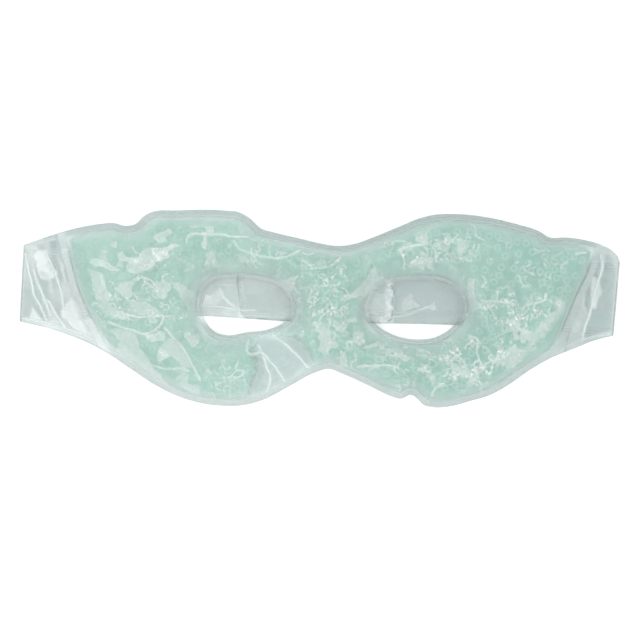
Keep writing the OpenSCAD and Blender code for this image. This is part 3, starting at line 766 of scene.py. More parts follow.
def film_material():
    """Clear soft vinyl: see-through, glossy at a slant, with a painted reflection where an air gap
    lies behind.
    """
    n = Nodes("clear_film_vinyl")
    # the film's faint haze, raised by the painted sheen and the weld lines
    haze_and_sheen = n.scaled(n.attribute("painted_sheen_and_marks"), 0.34, 0.018)
    haze_and_sheen = n.math("MULTIPLY", haze_and_sheen, n.scaled(n.noise(120, 2.0), 0.5, 0.75))
    # fine painted highlights on creased film, where the film is busy: the middle contour of a
    # warped noise, broken
    contour = n.math("ABSOLUTE", n.math("SUBTRACT", n.noise(300, 2.0, 0.5, 1.6), 0.5))
    thin = n.math("SUBTRACT", 1.0, n.math("MULTIPLY", contour, 27.0), True)
    broken = n.black_to_white(n.noise(190, 2.0), 0.5, 0.56)
    threads = n.math("MULTIPLY", n.math("MULTIPLY", thin, broken), n.attribute("busy"))
    haze_and_sheen = n.math("ADD", haze_and_sheen, n.math("MULTIPLY", threads, 0.55))
    cover = n.math("ADD", haze_and_sheen, n.math("MULTIPLY", n.slant(4.0), 0.45), True)
    tint = n.mix_colour(n.attribute("tone"), (0.992, 0.994, 0.993), (0.73, 0.775, 0.77))
    skin = n.skin(
        Base_Color=(0.93, 0.97, 0.96), Roughness=n.scaled(n.noise(900, 3.0, 0.6), 0.12, 0.1),
        IOR=1.53, Coat_Weight=0.6, Coat_Roughness=0.06,
        Normal=n.bump(n.noise(260, 2.0), 0.3, 0.0003),
    )
    return n.finish(n.over_clear(cover, tint, skin))


def gel_material():
    """Pale teal gel: cloudy in the deep of the chamber, clear where it thins at a weld; painted
    light on steep slopes.
    """
    n = Nodes("carrier_gel_teal")
    cloud = n.black_to_white(n.noise(70, 4.0, 0.55, 0.6), 0.32, 0.68)
    deep = n.mix_colour(cloud, (0.43, 0.64, 0.57), (0.33, 0.555, 0.48))
    # pale where the gel thins at a weld, and painted lighter on its steep slope into the gel-free
    # patch
    pale = n.mix_colour(n.attribute("inward"), (0.68, 0.79, 0.765), deep)
    darker = n.mix_colour(n.attribute("right"), pale, (0.24, 0.455, 0.39))
    # painted light: the gel lighter near the eye openings, against the shade of its steep slopes
    # there
    eye_slope_light = n.math("MULTIPLY", n.attribute("by_eye"), 0.3)
    lit = n.mix_colour(eye_slope_light, darker, (0.62, 0.75, 0.72))
    round_beads = n.math("MULTIPLY", n.attribute("bead"), 0.7)
    skin = n.skin(
        Base_Color=n.mix_colour(round_beads, lit, (0.5, 0.69, 0.63)), Roughness=0.38, IOR=1.36,
        Subsurface_Weight=0.25, Subsurface_Radius=(0.002, 0.004, 0.0035), Subsurface_Scale=1.0,
        Normal=n.bump(n.noise(420, 3.0, 0.6), 0.5, 0.0004),
    )
    cover = n.math("MULTIPLY", n.attribute("depth"), 0.85, True)
    return n.finish(n.over_clear(cover, (0.97, 0.99, 0.985), skin))


def bead_material():
    """Small translucent hydrogel beads with brighter rims."""
    n = Nodes("hydrogel_beads")
    colour = n.mix_colour(n.noise(300, 2.0), (0.42, 0.66, 0.58), (0.54, 0.75, 0.68))
    skin = n.skin(Base_Color=colour, Roughness=0.2, IOR=1.34)
    cover = n.scaled(n.slant(2.0), 0.55, 0.35, True)
    return n.finish(n.over_clear(cover, (0.88, 0.96, 0.94), skin))


def tape_material(name, threads, rough):
    """Translucent white hook-and-loop tape with a fine weave."""
    n = Nodes(name)
    waves = [
        n.at_object("ShaderNodeTexWave", {"Scale": threads}, bands_direction=direction)
        for direction in ("X", "Y")
    ]
    weave = n.math("MULTIPLY", *waves)
    colour = n.mix_colour(n.noise(250, 3.0), (0.78, 0.82, 0.81), (0.9, 0.92, 0.915))
    colour = n.mix_colour(n.math("MULTIPLY", weave, 0.35), colour, (0.66, 0.71, 0.7))
    return n.finish(n.skin(
        Base_Color=colour, Roughness=rough, Sheen_Weight=0.3, Sheen_Roughness=0.5,
        Normal=n.bump(weave, 0.6, 0.0002),
    ))


def floor_material():
    n = Nodes("studio_floor")
    colour = n.mix_colour(n.noise(8, 2.0), (0.9, 0.905, 0.91), (0.93, 0.933, 0.935))
    return n.finish(n.skin(
        Base_Color=colour, Roughness=0.7, Specular_IOR_Level=0.2,
        Emission_Color=(1, 1, 1), Emission_Strength=0.24,
    ))


FILM = film_material()
GEL = gel_material()
BEADS = bead_material()
HOOKS = tape_material("hook_tape", 900, 0.45)
LOOPS = tape_material("loop_tape", 700, 0.8)

# ---------------------------------------------------------------- cloth simulation of the front
SIM_STEP = 2.4
SIM_SCALE = 0.01
SIM_FRAMES = 22
SIM_CAP = 1.1
SIM_REACH = 2.6


def simulated_wrinkles():
    """Where the front film goes when it is a little larger than the pack: (plan points, rise)."""
    points, tris = triangulated(MASK_LOOP, EYES, SIM_STEP)
    f = Field(points)
    start = np.column_stack([points, f.front()])
    obj = mesh_object("film_cloth", start, tris, FILM)
    obj.data.transform(Matrix.Scale(SIM_SCALE / MM, 4))
    pins = obj.vertex_groups.new(name="pins")
    for i in np.flatnonzero(f.depth <= 0.6):
        pins.add([int(i)], 1.0, "REPLACE")
    cloth = obj.modifiers.new("Cloth", "CLOTH")
    setup = cloth.settings
    setup.quality = 6
    setup.mass = 0.2
    setup.air_damping = 3
    setup.tension_stiffness = 20
    setup.compression_stiffness = 20
    setup.shear_stiffness = 8
    setup.bending_stiffness = 0.4
    setup.vertex_group_mass = "pins"
    setup.shrink_min = -0.045
    setup.effector_weights.gravity = 0
    cloth.collision_settings.use_collision = False
    for now in range(1, SIM_FRAMES + 1):
        scene.frame_set(now)
    done = obj.evaluated_get(bpy.context.evaluated_depsgraph_get())
    end = np.empty(3 * len(points), np.float32)
    done.data.vertices.foreach_get("co", end)
    scene.frame_set(1)
    bpy.data.objects.remove(obj)
    rise = np.clip(end.reshape(-1, 3)[:, 2] / SIM_SCALE - start[:, 2], -SIM_CAP, SIM_CAP)
    return points, rise


def spread_to(points, known, values, reach):
    """Values known at some points, smoothly carried over to others."""
    tree = tree_of(known)
    out = np.zeros(len(points))
    for i, (x, y) in enumerate(points):
        near = tree.find_n((x, y, 0), 6)
        w = np.exp(-((np.array([q[2] for q in near]) / (reach / 2)) ** 2)) + 1e-9
        out[i] = (w * values[[q[1] for q in near]]).sum() / w.sum()
    return out


# ---------------------------------------------------------------- beads
BEAD_D = 3.0
BEAD_SPACING = 3.15
BEAD_TRIES = 9000
BEAD_RING_R = 1.15
BEAD_LIFT = 0.1
# Beads keep this far from the welds, and out of the gel-free patch
BEAD_MIN_DEPTH = 4.2
BEAD_MAX_THIN = 0.12


def bead_places():
    """Plan positions of the beads next to the front film, packed at random."""
    draw = np.random.default_rng(5)
    tries = draw.uniform(MASK_LOOP.min(0), MASK_LOOP.max(0), (BEAD_TRIES, 2))
    f = Field(tries)
    held = inside(tries, MASK_LOOP) & ~inside(tries, EYES[0]) & ~inside(tries, EYES[1])
    tries = tries[held & (f.depth > BEAD_MIN_DEPTH) & (f.thin < BEAD_MAX_THIN)]
    cell, taken, kept = BEAD_SPACING, {}, []
    for x, y in tries:
        i, j = int(x // cell), int(y // cell)
        close = [q for a in (-1, 0, 1) for b in (-1, 0, 1) for q in taken.get((i + a, j + b), ())]
        if all((x - q[0]) ** 2 + (y - q[1]) ** 2 > cell**2 for q in close):
            taken.setdefault((i, j), []).append((x, y))
            kept.append((x, y))
    return np.array(kept)


def bead_relief(points, places):
    """How far each point lies from its nearest bead's middle, as 1 at the middle to 0."""
    tree = tree_of(places)
    away = np.array([tree.find((x, y, 0))[2] for x, y in points])
    dome = np.sqrt(np.clip(1 - (away / (BEAD_D / 2)) ** 2, 0, 1))
    return dome, line_at(away, BEAD_RING_R, 0.3)


# ---------------------------------------------------------------- the mask
FINE_STEP = 0.4
BACK_STEP = 1.1
GEL_SKIN_GAP = 0.05
GEL_MIN = 0.02
# How much of its thickness the gel loses in the gel-free patch, the thickness in which it
# turns cloudy (mm), and how much darker it gets to the right
CLEAR_GEL_DROP = 0.97
GEL_CLOUDY_IN = 1.8
GEL_SHADE_RIGHT = 0.42
# How far the back film's slack stands in (mm), and how strong the painted reflection on its air
# gaps is
BACK_CREEP = 0.35
BACK_GAP_SHEEN = 0.5
# Mesh steps and reaches by which the simulated wrinkles are carried over to the fine mesh
COARSE_STEP = 1.2
COARSE_REACH = 1.6
FINE_REACH = 1.0

beads_at = bead_places()
fine_points, fine_tris = triangulated(MASK_LOOP, EYES, FINE_STEP)
field = Field(fine_points)
smooth_front = field.front()
sim_points, sim_rise = simulated_wrinkles()
coarse, _ = triangulated(MASK_LOOP, EYES, COARSE_STEP)
on_coarse = spread_to(coarse, sim_points, sim_rise, SIM_REACH)
moved = spread_to(fine_points, coarse, on_coarse, COARSE_REACH)
smooth_front = smooth_front + moved * smooth(0, 3, field.depth)
lift, painted_sheen_and_marks, tone, busy = front_relief(field)
bead, bead_ring = bead_relief(fine_points, beads_at)
bead_here = smooth(1.5, 4, field.depth) * (1 - field.clear)
bead, bead_ring = bead * bead_here, bead_ring * bead_here
tight = 1 - smooth(0.05, 0.3, lift)
film_low = smooth_front + lift + BEAD_LIFT * bead * tight
front = shell(
    "front_film_skin", raised(fine_points, film_low + FILM_T), raised(fine_points, film_low),
    fine_tris, FILM, {"painted_sheen_and_marks": painted_sheen_and_marks, "tone": tone, "busy": busy},
)
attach(front, "mask")
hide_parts("front_film")

# The gel fills the chamber between the two films, with the beads pressing up under its skin.
in_chamber = field.depth[fine_tris].max(1) > 0
gel_points, gel_tris, used = kept_mesh(fine_points, fine_tris[in_chamber])
gel_field = Field(gel_points)
gel_top = smooth_front[used] - GEL_SKIN_GAP + BEAD_LIFT * bead[used]
gel_low = gel_field.back() + GEL_SKIN_GAP
gel_share = 1 - CLEAR_GEL_DROP * smooth(0.05, 0.95, gel_field.thin)
gap = np.maximum((gel_top - gel_low) * gel_share, GEL_MIN)
gel = shell(
    "gel_filling", raised(gel_points, gel_low + gap), raised(gel_points, gel_low), gel_tris, GEL,
    {
        "depth": (1 - np.exp(-gap / GEL_CLOUDY_IN)) * (1 - smooth(0.05, 0.95, gel_field.clear)),
        "bead": bead_ring[used],
        # pale near the welds, and painted light on the slope into the gel-free patch, against its
        # shade
        "inward": smooth(-1.5, 5, gel_field.depth) * (1 - smooth(0, 0.7, gel_field.thin)),
        # painted light near the eye openings, against the shade of the gel's steep slopes
        "by_eye": smooth(11, 5, np.minimum(*gel_field.eye)),
        "right": GEL_SHADE_RIGHT * smooth(-60, 85, gel_points[:, 0]),
    },
)
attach(gel, "mask")
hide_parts("carrier_gel")

# The back film: the same plan, bellied down beside the straps
back_points, back_tris = triangulated(MASK_LOOP, EYES, BACK_STEP)
back_field = Field(back_points)
creep = (noise(back_points, 7, 61, 3) - 0.5) * BACK_CREEP * smooth(1, 5, back_field.depth)
back_low = np.maximum(back_field.back() - FILM_T + np.maximum(creep, 0), 0.0)
# painted reflections on the back film's air gaps
back_sheen = BACK_GAP_SHEEN * smooth(0.62, 0.66, noise(back_points, 8, 62, 3))
back = shell(
    "back_film_skin", raised(back_points, back_low + FILM_T - 0.01),
    raised(back_points, back_low), back_tris, FILM,
    {"painted_sheen_and_marks": back_sheen * smooth(1, 4, back_field.depth), "tone": rim_tones(back_field, "back")},
)
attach(back, "mask")
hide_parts("back_film")


def ball(steps):
    """A sphere of radius 1: points and triangles."""
    bm = bmesh.new()
    bmesh.ops.create_icosphere(bm, subdivisions=steps, radius=1.0)
    bm.verts.ensure_lookup_table()
    points = np.array([v.co for v in bm.verts])
    tris = np.array([[v.index for v in face.verts] for face in bm.faces])
    bm.free()
    return points, tris


def copies(points, tris, places, sizes):
    """Many moved and scaled copies of one mesh as one mesh."""
    n = len(points)
    all_points = (points[None] * np.asarray(sizes)[:, None, None] + places[:, None]).reshape(-1, 3)
    all_tris = (tris[None] + n * np.arange(len(places))[:, None, None]).reshape(-1, 3)
    return all_points, all_tris


# How far a bead's middle stays from the film above and below, past its own radius
BEAD_CLEAR_TOP = 0.2
BEAD_CLEAR_LOW = 0.5
MIN_BEAD_R = 0.7
# A second bead lies under the first where there is this much more room than the two take up
SECOND_BEAD_ROOM = 1.2
LOWER_BEAD_SIZE = 0.92

top_here = spread_to(beads_at, fine_points, smooth_front, FINE_REACH)
back_here = Field(beads_at).back()
room_here = top_here - back_here
draw_size = np.random.default_rng(8)
bead_r = np.minimum(BEAD_D / 2 * draw_size.uniform(0.8, 1.0, len(beads_at)), room_here / 2 - 0.25)
# the highest and the lowest that each bead's middle can lie without touching a sloping film
highest, lowest = top_here - bead_r, back_here + bead_r
rays = [(turn, lean) for turn in np.arange(8) * math.pi / 4 for lean in np.radians((30, 60))]
beside = np.vstack([
    beads_at + (bead_r * math.cos(lean))[:, None] * np.array([math.cos(turn), math.sin(turn)])
    for turn, lean in rays
])
film_there = spread_to(beside, fine_points, smooth_front, FINE_REACH).reshape(len(rays), -1)
back_there = Field(beside).back().reshape(len(rays), -1)
for (_, lean), above, below in zip(rays, film_there, back_there):
    highest = np.minimum(highest, above - bead_r * math.sin(lean))
    lowest = np.maximum(lowest, below + bead_r * math.sin(lean))
fits = highest - BEAD_CLEAR_TOP > lowest + BEAD_CLEAR_TOP
upper = (bead_r > MIN_BEAD_R) & fits
upper_beads = np.column_stack([beads_at, highest - BEAD_CLEAR_TOP])[upper]
lower = upper & (room_here > 4 * bead_r + SECOND_BEAD_ROOM)
shift = draw_size.uniform(-0.8, 0.8, (len(beads_at), 2))
lower_beads = np.column_stack([beads_at + shift, lowest + BEAD_CLEAR_LOW])[lower]
bead_points, bead_tris = copies(
    *ball(2), np.vstack([upper_beads, lower_beads]),
    np.concatenate([bead_r[upper], bead_r[lower] * LOWER_BEAD_SIZE]),
)
beads = mesh_object("hydrogel_bead_fill", bead_points, bead_tris, BEADS, sharp=180)
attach(beads, "mask")
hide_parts("gel_beads")


# ---------------------------------------------------------------- tabs, folds and straps
class Side:
    """One strap half with its tab: a flat sheet in (run, across), folded at run 0."""

    def __init__(self, word, fold, seam_line, low_knots, high_knots):
        f = np.array(fold, float)
        self.word, self.left = word, word == "left"
        self.middle = f.mean(0)
        along = f[1] - f[0]
        self.half = np.linalg.norm(along) / 2
        self.across = along / np.linalg.norm(along)
        self.inward = np.array([self.across[1], -self.across[0]]) * (1 if self.left else -1)
        self.seam = seam_line
        self.low = self._edge(low_knots, -self.half)
        self.high = self._edge(high_knots, self.half)
        self._fold_path()

    def local(self, points):
        rel = np.atleast_2d(points) - self.middle
        return np.column_stack([rel @ self.inward, rel @ self.across])

    def plan(self, a, b):
        return self.middle + np.multiply.outer(a, self.inward) + np.multiply.outer(b, self.across)

    def _edge(self, knots, start):
        return np.vstack([[0, start], self.local(np.array(knots, float))])

    def _fold_path(self):
        """Run, height and slope of the sheet's middle from the fold tip on to the tab."""
        s = np.linspace(0, FOLD_RUN, 400)
        slope = np.where(
            s < FOLD_TIP, math.pi / 2 - (math.pi / 2 - FOLD_SLOPE) * s / FOLD_TIP,
            FOLD_SLOPE * (1 - (s - FOLD_TIP) / (FOLD_RUN - FOLD_TIP)),
        )
        ds = s[1] - s[0]
        middle = (slope[1:] + slope[:-1]) / 2
        a = np.concatenate([[0], np.cumsum(np.cos(middle)) * ds])
        z = np.concatenate([[0], np.cumsum(np.sin(middle)) * ds])
        self.path = (s, a, z * (BACK_MAX / 2) / z[-1], slope)

    def along_sheet(self, a):
        """Distance along the sheet from the fold tip, for a distance a in plan."""
        s, run, _, _ = self.path
        return np.where(a > run[-1], a + (s[-1] - run[-1]), np.interp(a, run, s))

    def under(self, s, b):
        """Plan points of the sheet's middle: s from the fold tip, b across."""
        ps, pa, _, _ = self.path
        return self.plan(np.interp(s, ps, pa) + np.maximum(s - ps[-1], 0), b)

    def skin(self, s, b, offset, sign, up):
        """Points of the sheet at an offset outwards from its middle. Sign: 1 tab, -1 strap."""
        ps, pa, pz, slope = self.path
        a = np.interp(s, ps, pa) + np.maximum(s - ps[-1], 0)
        angle = np.interp(s, ps, slope)
        z = TIP_Z + sign * (np.interp(s, ps, pz) + np.cos(angle) * offset)
        return raised(self.plan(a - np.sin(angle) * offset, b), z + up)

    def tab_grid(self, columns, rows):
        """(s, b) over the tab: from the fold line to the seam, between the outline's edges."""
        t = (np.arange(columns + 1) / columns) ** 1.5
        v = np.linspace(0, 1, rows + 1)
        run = run_along(self.seam)
        far = self.local(at_runs(self.seam, run, v * run[-1]))
        edges = []
        for edge, end, start in (
            (BOTTOM, self.seam[0], -self.half), (TOP, self.seam[-1], self.half),
        ):
            x0 = self.plan(0.0, start)[0]
            x = x0 + (end[0] - x0) * t
            line = self.local(np.column_stack(on_edge(edge, x)))
            line[0] = (0, start)
            edges.append(line)
        bottom, top = edges
        tt, vv = t[:, None, None], v[None, :, None]
        fold = np.column_stack([np.zeros(rows + 1), -self.half + 2 * self.half * v])
        grid = (
            (1 - tt) * fold[None] + tt * far[None] + (1 - vv) * bottom[:, None] + vv * top[:, None]
            - (1 - tt) * (1 - vv) * fold[0] - tt * (1 - vv) * far[0]
            - (1 - tt) * vv * fold[-1] - tt * vv * far[-1]
        )
        grid = grid.reshape(-1, 2)
        return self.along_sheet(np.maximum(grid[:, 0], 0)), grid[:, 1]

    def strap_grid(self, columns, rows):
        """(s, b, distance from the edge) over the strap, from the fold to its rounded end."""
        k = np.arange(1, columns + 1) / columns
        t = 0.35 * k**2 + 0.65 * np.sin(k * math.pi / 2)
        v = np.linspace(0, 1, rows + 1)
        end = self.low[-1, 0] * (1 - v) + self.high[-1, 0] * v
        a = np.outer(t, end)
        low = np.interp(a, self.low[:, 0], self.low[:, 1])
        high = np.interp(a, self.high[:, 0], self.high[:, 1])
        past = np.clip(a - (end[None] - CORNER_R), 0, CORNER_R)
        inset = CORNER_R - np.sqrt(CORNER_R**2 - past**2)
        b = (low + inset) * (1 - v) + (high - inset) * v
        edge = np.minimum(b - low - inset, high - inset - b)
        edge = np.minimum(edge, end[None] - a)
        return self.along_sheet(a).ravel(), b.ravel(), edge.ravel()


SIDES = [
    Side("left", LEFT_FOLD, SEAMS[0], LEFT_STRAP_LOW, LEFT_STRAP_HIGH),
    Side("right", RIGHT_FOLD, SEAMS[1], RIGHT_STRAP_LOW, RIGHT_STRAP_HIGH),
]

# Patches of painted reflection (outline, strength) and creases with painted highlights (line,
# width, strength) of the two tabs, and of the straps where the eye openings show them
TAB_MARKS = {
    "left": ([
        ([(-114, 22), (-112.5, 24), (-109.5, 23.5), (-108, 19), (-105, 13.5), (-107.5, 11),
          (-111.5, 12), (-114, 16)], 1.0),
        ([(-100.5, 3), (-98.5, 5), (-96, 1.5), (-92.5, -5.5), (-89.5, -11.5), (-94, -10.5),
          (-99, -7.5), (-103.5, -3), (-104, 0)], 0.9),
        ([(-114.5, 0.5), (-112.5, -1.5), (-111, -5), (-117, -4)], 0.8),
        ([(-104, 22), (-101.5, 13.5), (-98.5, 5.5), (-99.5, 3), (-102.5, 12), (-105, 21.5)], 0.5),
    ], [
        ([(-109.5, 23), (-107.5, 18), (-104.5, 11), (-103, 4.5), (-102.5, 0)], 0.55, 1.0),
        ([(-117.5, 22), (-116, 13.5), (-114, 5.5), (-111, -0.5), (-109, -5)], 0.5, 0.9),
        ([(-114.5, 15.5), (-112, 8.5), (-109.5, 2), (-107.5, -3)], 0.6, 0.9),
        ([(-108.5, 3), (-105, -3), (-101.5, -7.5)], 0.6, 1.0),
        ([(-104, 27), (-101.8, 19), (-97.5, 8), (-93.5, -3), (-89, -13)], 0.5, 0.7),
        ([(-117.5, 24.2), (-111, 26.7), (-105, 28)], 0.4, 0.7),
        ([(-119, -4), (-108.5, -6), (-99, -9), (-89.5, -13)], 0.4, 0.9),
    ]),
    "right": ([
        ([(109.5, 13.5), (112.5, 12), (113, 5.5), (110.5, -0.5), (108.5, 0), (109, 8)], 0.8),
        ([(104, 2), (106, 4), (107, -3), (104, -9), (101, -10), (102, -4)], 0.45),
    ], [
        ([(111, 24), (113, 19), (112.5, 13.5), (110.5, 7), (108.5, -0.5), (106.5, -7.5),
          (105.5, -11.5)], 0.55, 1.0),
        ([(110.5, 22), (109.2, 17), (106.8, 10), (103.8, 2), (101, -6.5), (98.5, -13)], 0.5, 0.6),
        ([(111.3, 21), (110, 15.5), (107, 8), (104.5, 0)], 0.4, 0.5),
        ([(105, -12.3), (110.5, -11.3), (116.5, -10)], 0.4, 0.9),
        ([(98.5, -15), (105, -12.6)], 0.4, 0.7),
    ]),
}
STRAP_MARKS = {
    "left": ([
        ([(-45.5, 6), (-39.5, 9), (-38.5, 5.5), (-42, 1.5), (-47, 1.5)], 0.75),
    ], [
        ([(-48, 1.2), (-39.5, 0.5), (-33.5, -0.5), (-26, -0.6)], 0.4, 1.0),
        ([(-38.5, 4.5), (-36, 2.2), (-32.5, -0.5)], 0.4, 0.9),
        ([(-46.5, 8), (-40, 9.6), (-30, 9.8)], 0.4, 0.4),
    ]),
    "right": ([
        ([(32.5, -1), (33.5, 3), (37.5, 7), (37.5, 3.5), (40, 0.5), (36, -1)], 0.8),
        ([(42, 1), (46, 1.5), (46.5, 3.5), (47, -0.5), (46, -1), (45, 0)], 1.0),
        ([(50, -4), (55, -2.5), (55.5, -3.5), (51, -4.5)], 1.0),
        ([(22, 3), (29, 6), (29, -0.5), (22, -1.5)], 0.35),
    ], [
        ([(20, -2.6), (30, -3.2), (35, -2.5), (39, -1), (43.5, 0.5), (46, 1.5)], 0.45, 0.9),
        ([(20, -0.8), (30, -1.4), (36.5, -2)], 0.4, 0.6),
        ([(-31, 10.5), (-30, 7), (-29, 3.5), (-29.5, 0)], 0.6, 0.8),
    ]),
}
STRAP_END_X = {"left": 29.4, "right": -32.7}
BOTH_STRAPS_X = ((-33, -32), (29, 30))
FOLD_LINE_TONE, STRAP_EDGE_TONE, STUCK_TONE = 0.8, 0.5, 0.06
# How far the marks and the tabs' flutter stand up (mm), and less so where a ply lies behind
MARK_PATCH_LIFT, MARK_CREASE_LIFT, FLUTTER, FLUTTER_BASE = 0.3, 0.4, 0.9, 0.12
INNER_TAB_LIFT, OUTER_STRAP_LIFT, INNER_STRAP_LIFT = 0.25, 0.3, 0.8
# How light they look, the tab's streaks as painted highlights
STREAK_SHEEN, HEM_VEIL, TIP_VEIL, INNER_TAB_VEIL = 0.45, 0.5, 0.35, 0.35
STRAP_HEM_VEIL, BUMP_VEIL, END_BUMP_VEIL, STUCK_VEIL, OUTER_STRAP_VEIL = 0.55, 0.25, 0.7, 0.22, 0.4
# The line down through the fold between mask and strap: its lean from straight down
BEND_TILT = 0.024
# Mesh rows across each ply, and columns along its tab and its strap
PLY_ROWS, TAB_COLUMNS, STRAP_COLUMNS = 84, 80, 230


def marks(p, patches, creases, seed):
    """(lift, painted sheen) of a set of drawn patches and creases: painted reflections and
    highlights.
    """
    lift, painted_sheen_and_marks = np.zeros(len(p)), np.zeros(len(p))
    for k, (outline, strength) in enumerate(patches):
        shape = patch(p, outline, 1.0, seed + 3 * k)
        mottle = 0.7 + 0.3 * smooth(0.35, 0.6, noise(p, 4, seed + 90 + k, 2))
        lift = np.maximum(lift, MARK_PATCH_LIFT * shape)
        painted_sheen_and_marks = np.maximum(painted_sheen_and_marks, strength * shape * mottle)
    for k, (path, width, strength) in enumerate(creases):
        line = ridge(p, path, width, seed + 40 + 2 * k, 0.4)
        lift = lift + MARK_CREASE_LIFT * strength * line
        painted_sheen_and_marks = np.maximum(painted_sheen_and_marks, strength * line)
    return lift, painted_sheen_and_marks


def tab_ply(side, outer, offsets, seed):
    """A ply's share of the tab: inner points, outer points, painted sheen and weld lines, and
    tone.
    """
    s, b = side.tab_grid(TAB_COLUMNS, PLY_ROWS)
    plan = side.under(s, b)
    lift, painted_sheen_and_marks = marks(plan, *TAB_MARKS[side.word], seed)
    outline = np.minimum(distance(plan, TOP), distance(plan, BOTTOM))
    flat_share = smooth(3, 7, s) * smooth(0.0, 1.5, distance(plan, side.seam))
    flutter = (noise(plan * np.array([1.0, 0.35]), 6, seed + 7, 3) - 0.5) * FLUTTER
    # never below 0, so that the outer ply doesn't dip under the inner one
    rise = np.maximum(flutter + FLUTTER_BASE, 0) * smooth(1, 4, outline)
    up = flat_share * (lift + rise) * (1 if outer else INNER_TAB_LIFT)

    # painted highlights along streaks across the tab
    streaks = noise(warped(plan * np.array([1.0, 0.3]), 6, 1.5, seed + 8), 6, seed + 9, 3)
    painted_sheen_and_marks = np.maximum.reduce([
        painted_sheen_and_marks, STREAK_SHEEN * smooth(0.5, 0.68, streaks),
        HEM_VEIL * sum(lines_at(outline, TAB_LINES)), TIP_VEIL * line_at(s, 1.3, 0.5),
    ])
    above, below = WEDGE_TONE[side.word]
    run, across = side.local(plan).T
    over = across - np.interp(run, side.high[:, 0], side.high[:, 1])
    under = np.interp(run, side.low[:, 0], side.low[:, 1]) - across
    tone = TAB_TONE[side.word]
    tone = tone + above * smooth(-0.3, 0.3, over) + below * smooth(-0.3, 0.3, under)
    tone = np.maximum(tone, CUT_TONE * smooth(0.75, 0.25, outline))
    tone = np.maximum(tone, FOLD_LINE_TONE * smooth(0.9, 0.1, s))
    skins = [side.skin(s, b, offset, 1.0, up) for offset in offsets]
    return *skins, painted_sheen_and_marks if outer else INNER_TAB_VEIL * painted_sheen_and_marks, tone


def strap_ply(side, outer, offsets, seed):
    """A ply's share of the strap half: inner points, outer points, painted sheen and marks, and
    tone.
    """
    s, b, edge = side.strap_grid(STRAP_COLUMNS, PLY_ROWS)
    plan = side.under(s, b)
    x = plan[:, 0]
    lift, painted_sheen_and_marks = marks(plan, *STRAP_MARKS[side.word], seed + 300)
    climb = OVERLAP_Z * smooth(CLIMB[0], CLIMB[1], x) if side.left else 0.0
    open_here = sum(
        inside(plan, loop) * smooth(0.5, 3, distance(plan, loop, True)) for loop in EYES
    )
    share = OUTER_STRAP_LIFT if outer else INNER_STRAP_LIFT
    up = climb + open_here * lift * share * smooth(0.3, 1.5, edge)

    bumps = smooth(0.5, 0.62, noise(plan, 1.6, seed + 5, 2)) * smooth(3.2, 2.2, edge)
    at_end = smooth(8, 2, np.abs(x - STRAP_END_X[side.word]))
    stuck = smooth(0.5, 0.58, noise(plan * np.array([0.6, 1.0]), 9, seed + 6, 2))
    painted_sheen_and_marks = np.maximum.reduce([
        painted_sheen_and_marks, STRAP_HEM_VEIL * sum(lines_at(edge, STRAP_LINES)),
        bumps * (BUMP_VEIL + END_BUMP_VEIL * at_end), STUCK_VEIL * stuck,
    ])
    alone = STRAP_TONE[side.word]
    tone = alone + (STRAP_TONE_BOTH - alone) * band(x, *BOTH_STRAPS_X) + STUCK_TONE * stuck
    past_weld = np.minimum(right_of(plan, SEAMS[0]), -right_of(plan, SEAMS[1]))
    tone = STRAP_TONE_FOLD + (tone - STRAP_TONE_FOLD) * smooth(1, 35, past_weld)
    tone = np.maximum(tone, STRAP_EDGE_TONE * smooth(0.8, 0.2, edge) * smooth(30, 48, s))
    skins = [side.skin(s, b, offset, -1.0, up) for offset in offsets]
    return *skins, OUTER_STRAP_VEIL * painted_sheen_and_marks if outer else painted_sheen_and_marks, tone


def strap_piece(side, ply, seed):
    """One ply of a tab and its strap half, from the end weld over the fold to the strap's end."""
    outer = ply == "outer"
    offsets = (0.0, FILM_T) if outer else (-FILM_T, -0.01)
    parts = tab_ply(side, outer, offsets, seed), strap_ply(side, outer, offsets, seed)
    # columns run from the seam to the fold line and on to the strap's end
    per_row = PLY_ROWS + 1
    order = np.arange((TAB_COLUMNS + 1) * per_row).reshape(-1, per_row)[::-1].ravel()
    inner_skin, outer_skin, painted_sheen_and_marks, tone = (
        np.concatenate([tab[order], strap]) for tab, strap in zip(*parts)
    )
    ids = np.arange(len(painted_sheen_and_marks)).reshape(-1, per_row)
    a, d = ids[:-1, :-1].ravel(), ids[1:, :-1].ravel()
    b, c = ids[:-1, 1:].ravel(), ids[1:, 1:].ravel()
    tris = np.vstack([np.column_stack([a, c, b]), np.column_stack([a, d, c])])
    if not side.left:
        tris = tris[:, ::-1]
    obj = shell(
        f"{side.word}_strap_{ply}_ply", outer_skin, inner_skin, tris, FILM,
        {"painted_sheen_and_marks": painted_sheen_and_marks, "tone": tone},
    )
    # a line down through the fold, leaning a little inwards
    down = np.array([*(side.inward * BEND_TILT), -1.0])
    down /= np.linalg.norm(down)
    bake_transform(obj)
    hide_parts(f"{side.word}_strap_{ply}_film")
    return obj


strap_plies = [
    (side.word, strap_piece(side, ply, seed))
    for side, seed in zip(SIDES, (400, 900)) for ply in ("outer", "inner")
]


# ---------------------------------------------------------------- hook and loop pads
def rounded_box(half_w, half_h, r, steps=8):
    out = []
    for cx, cy, start in ((1, 1, 0), (-1, 1, 90), (-1, -1, 180), (1, -1, 270)):
        for k in range(steps + 1):
            t = math.radians(start + 90 * k / steps)
            out.append((cx * (half_w - r) + r * math.cos(t), cy * (half_h - r) + r * math.sin(t)))
    return np.array(out)


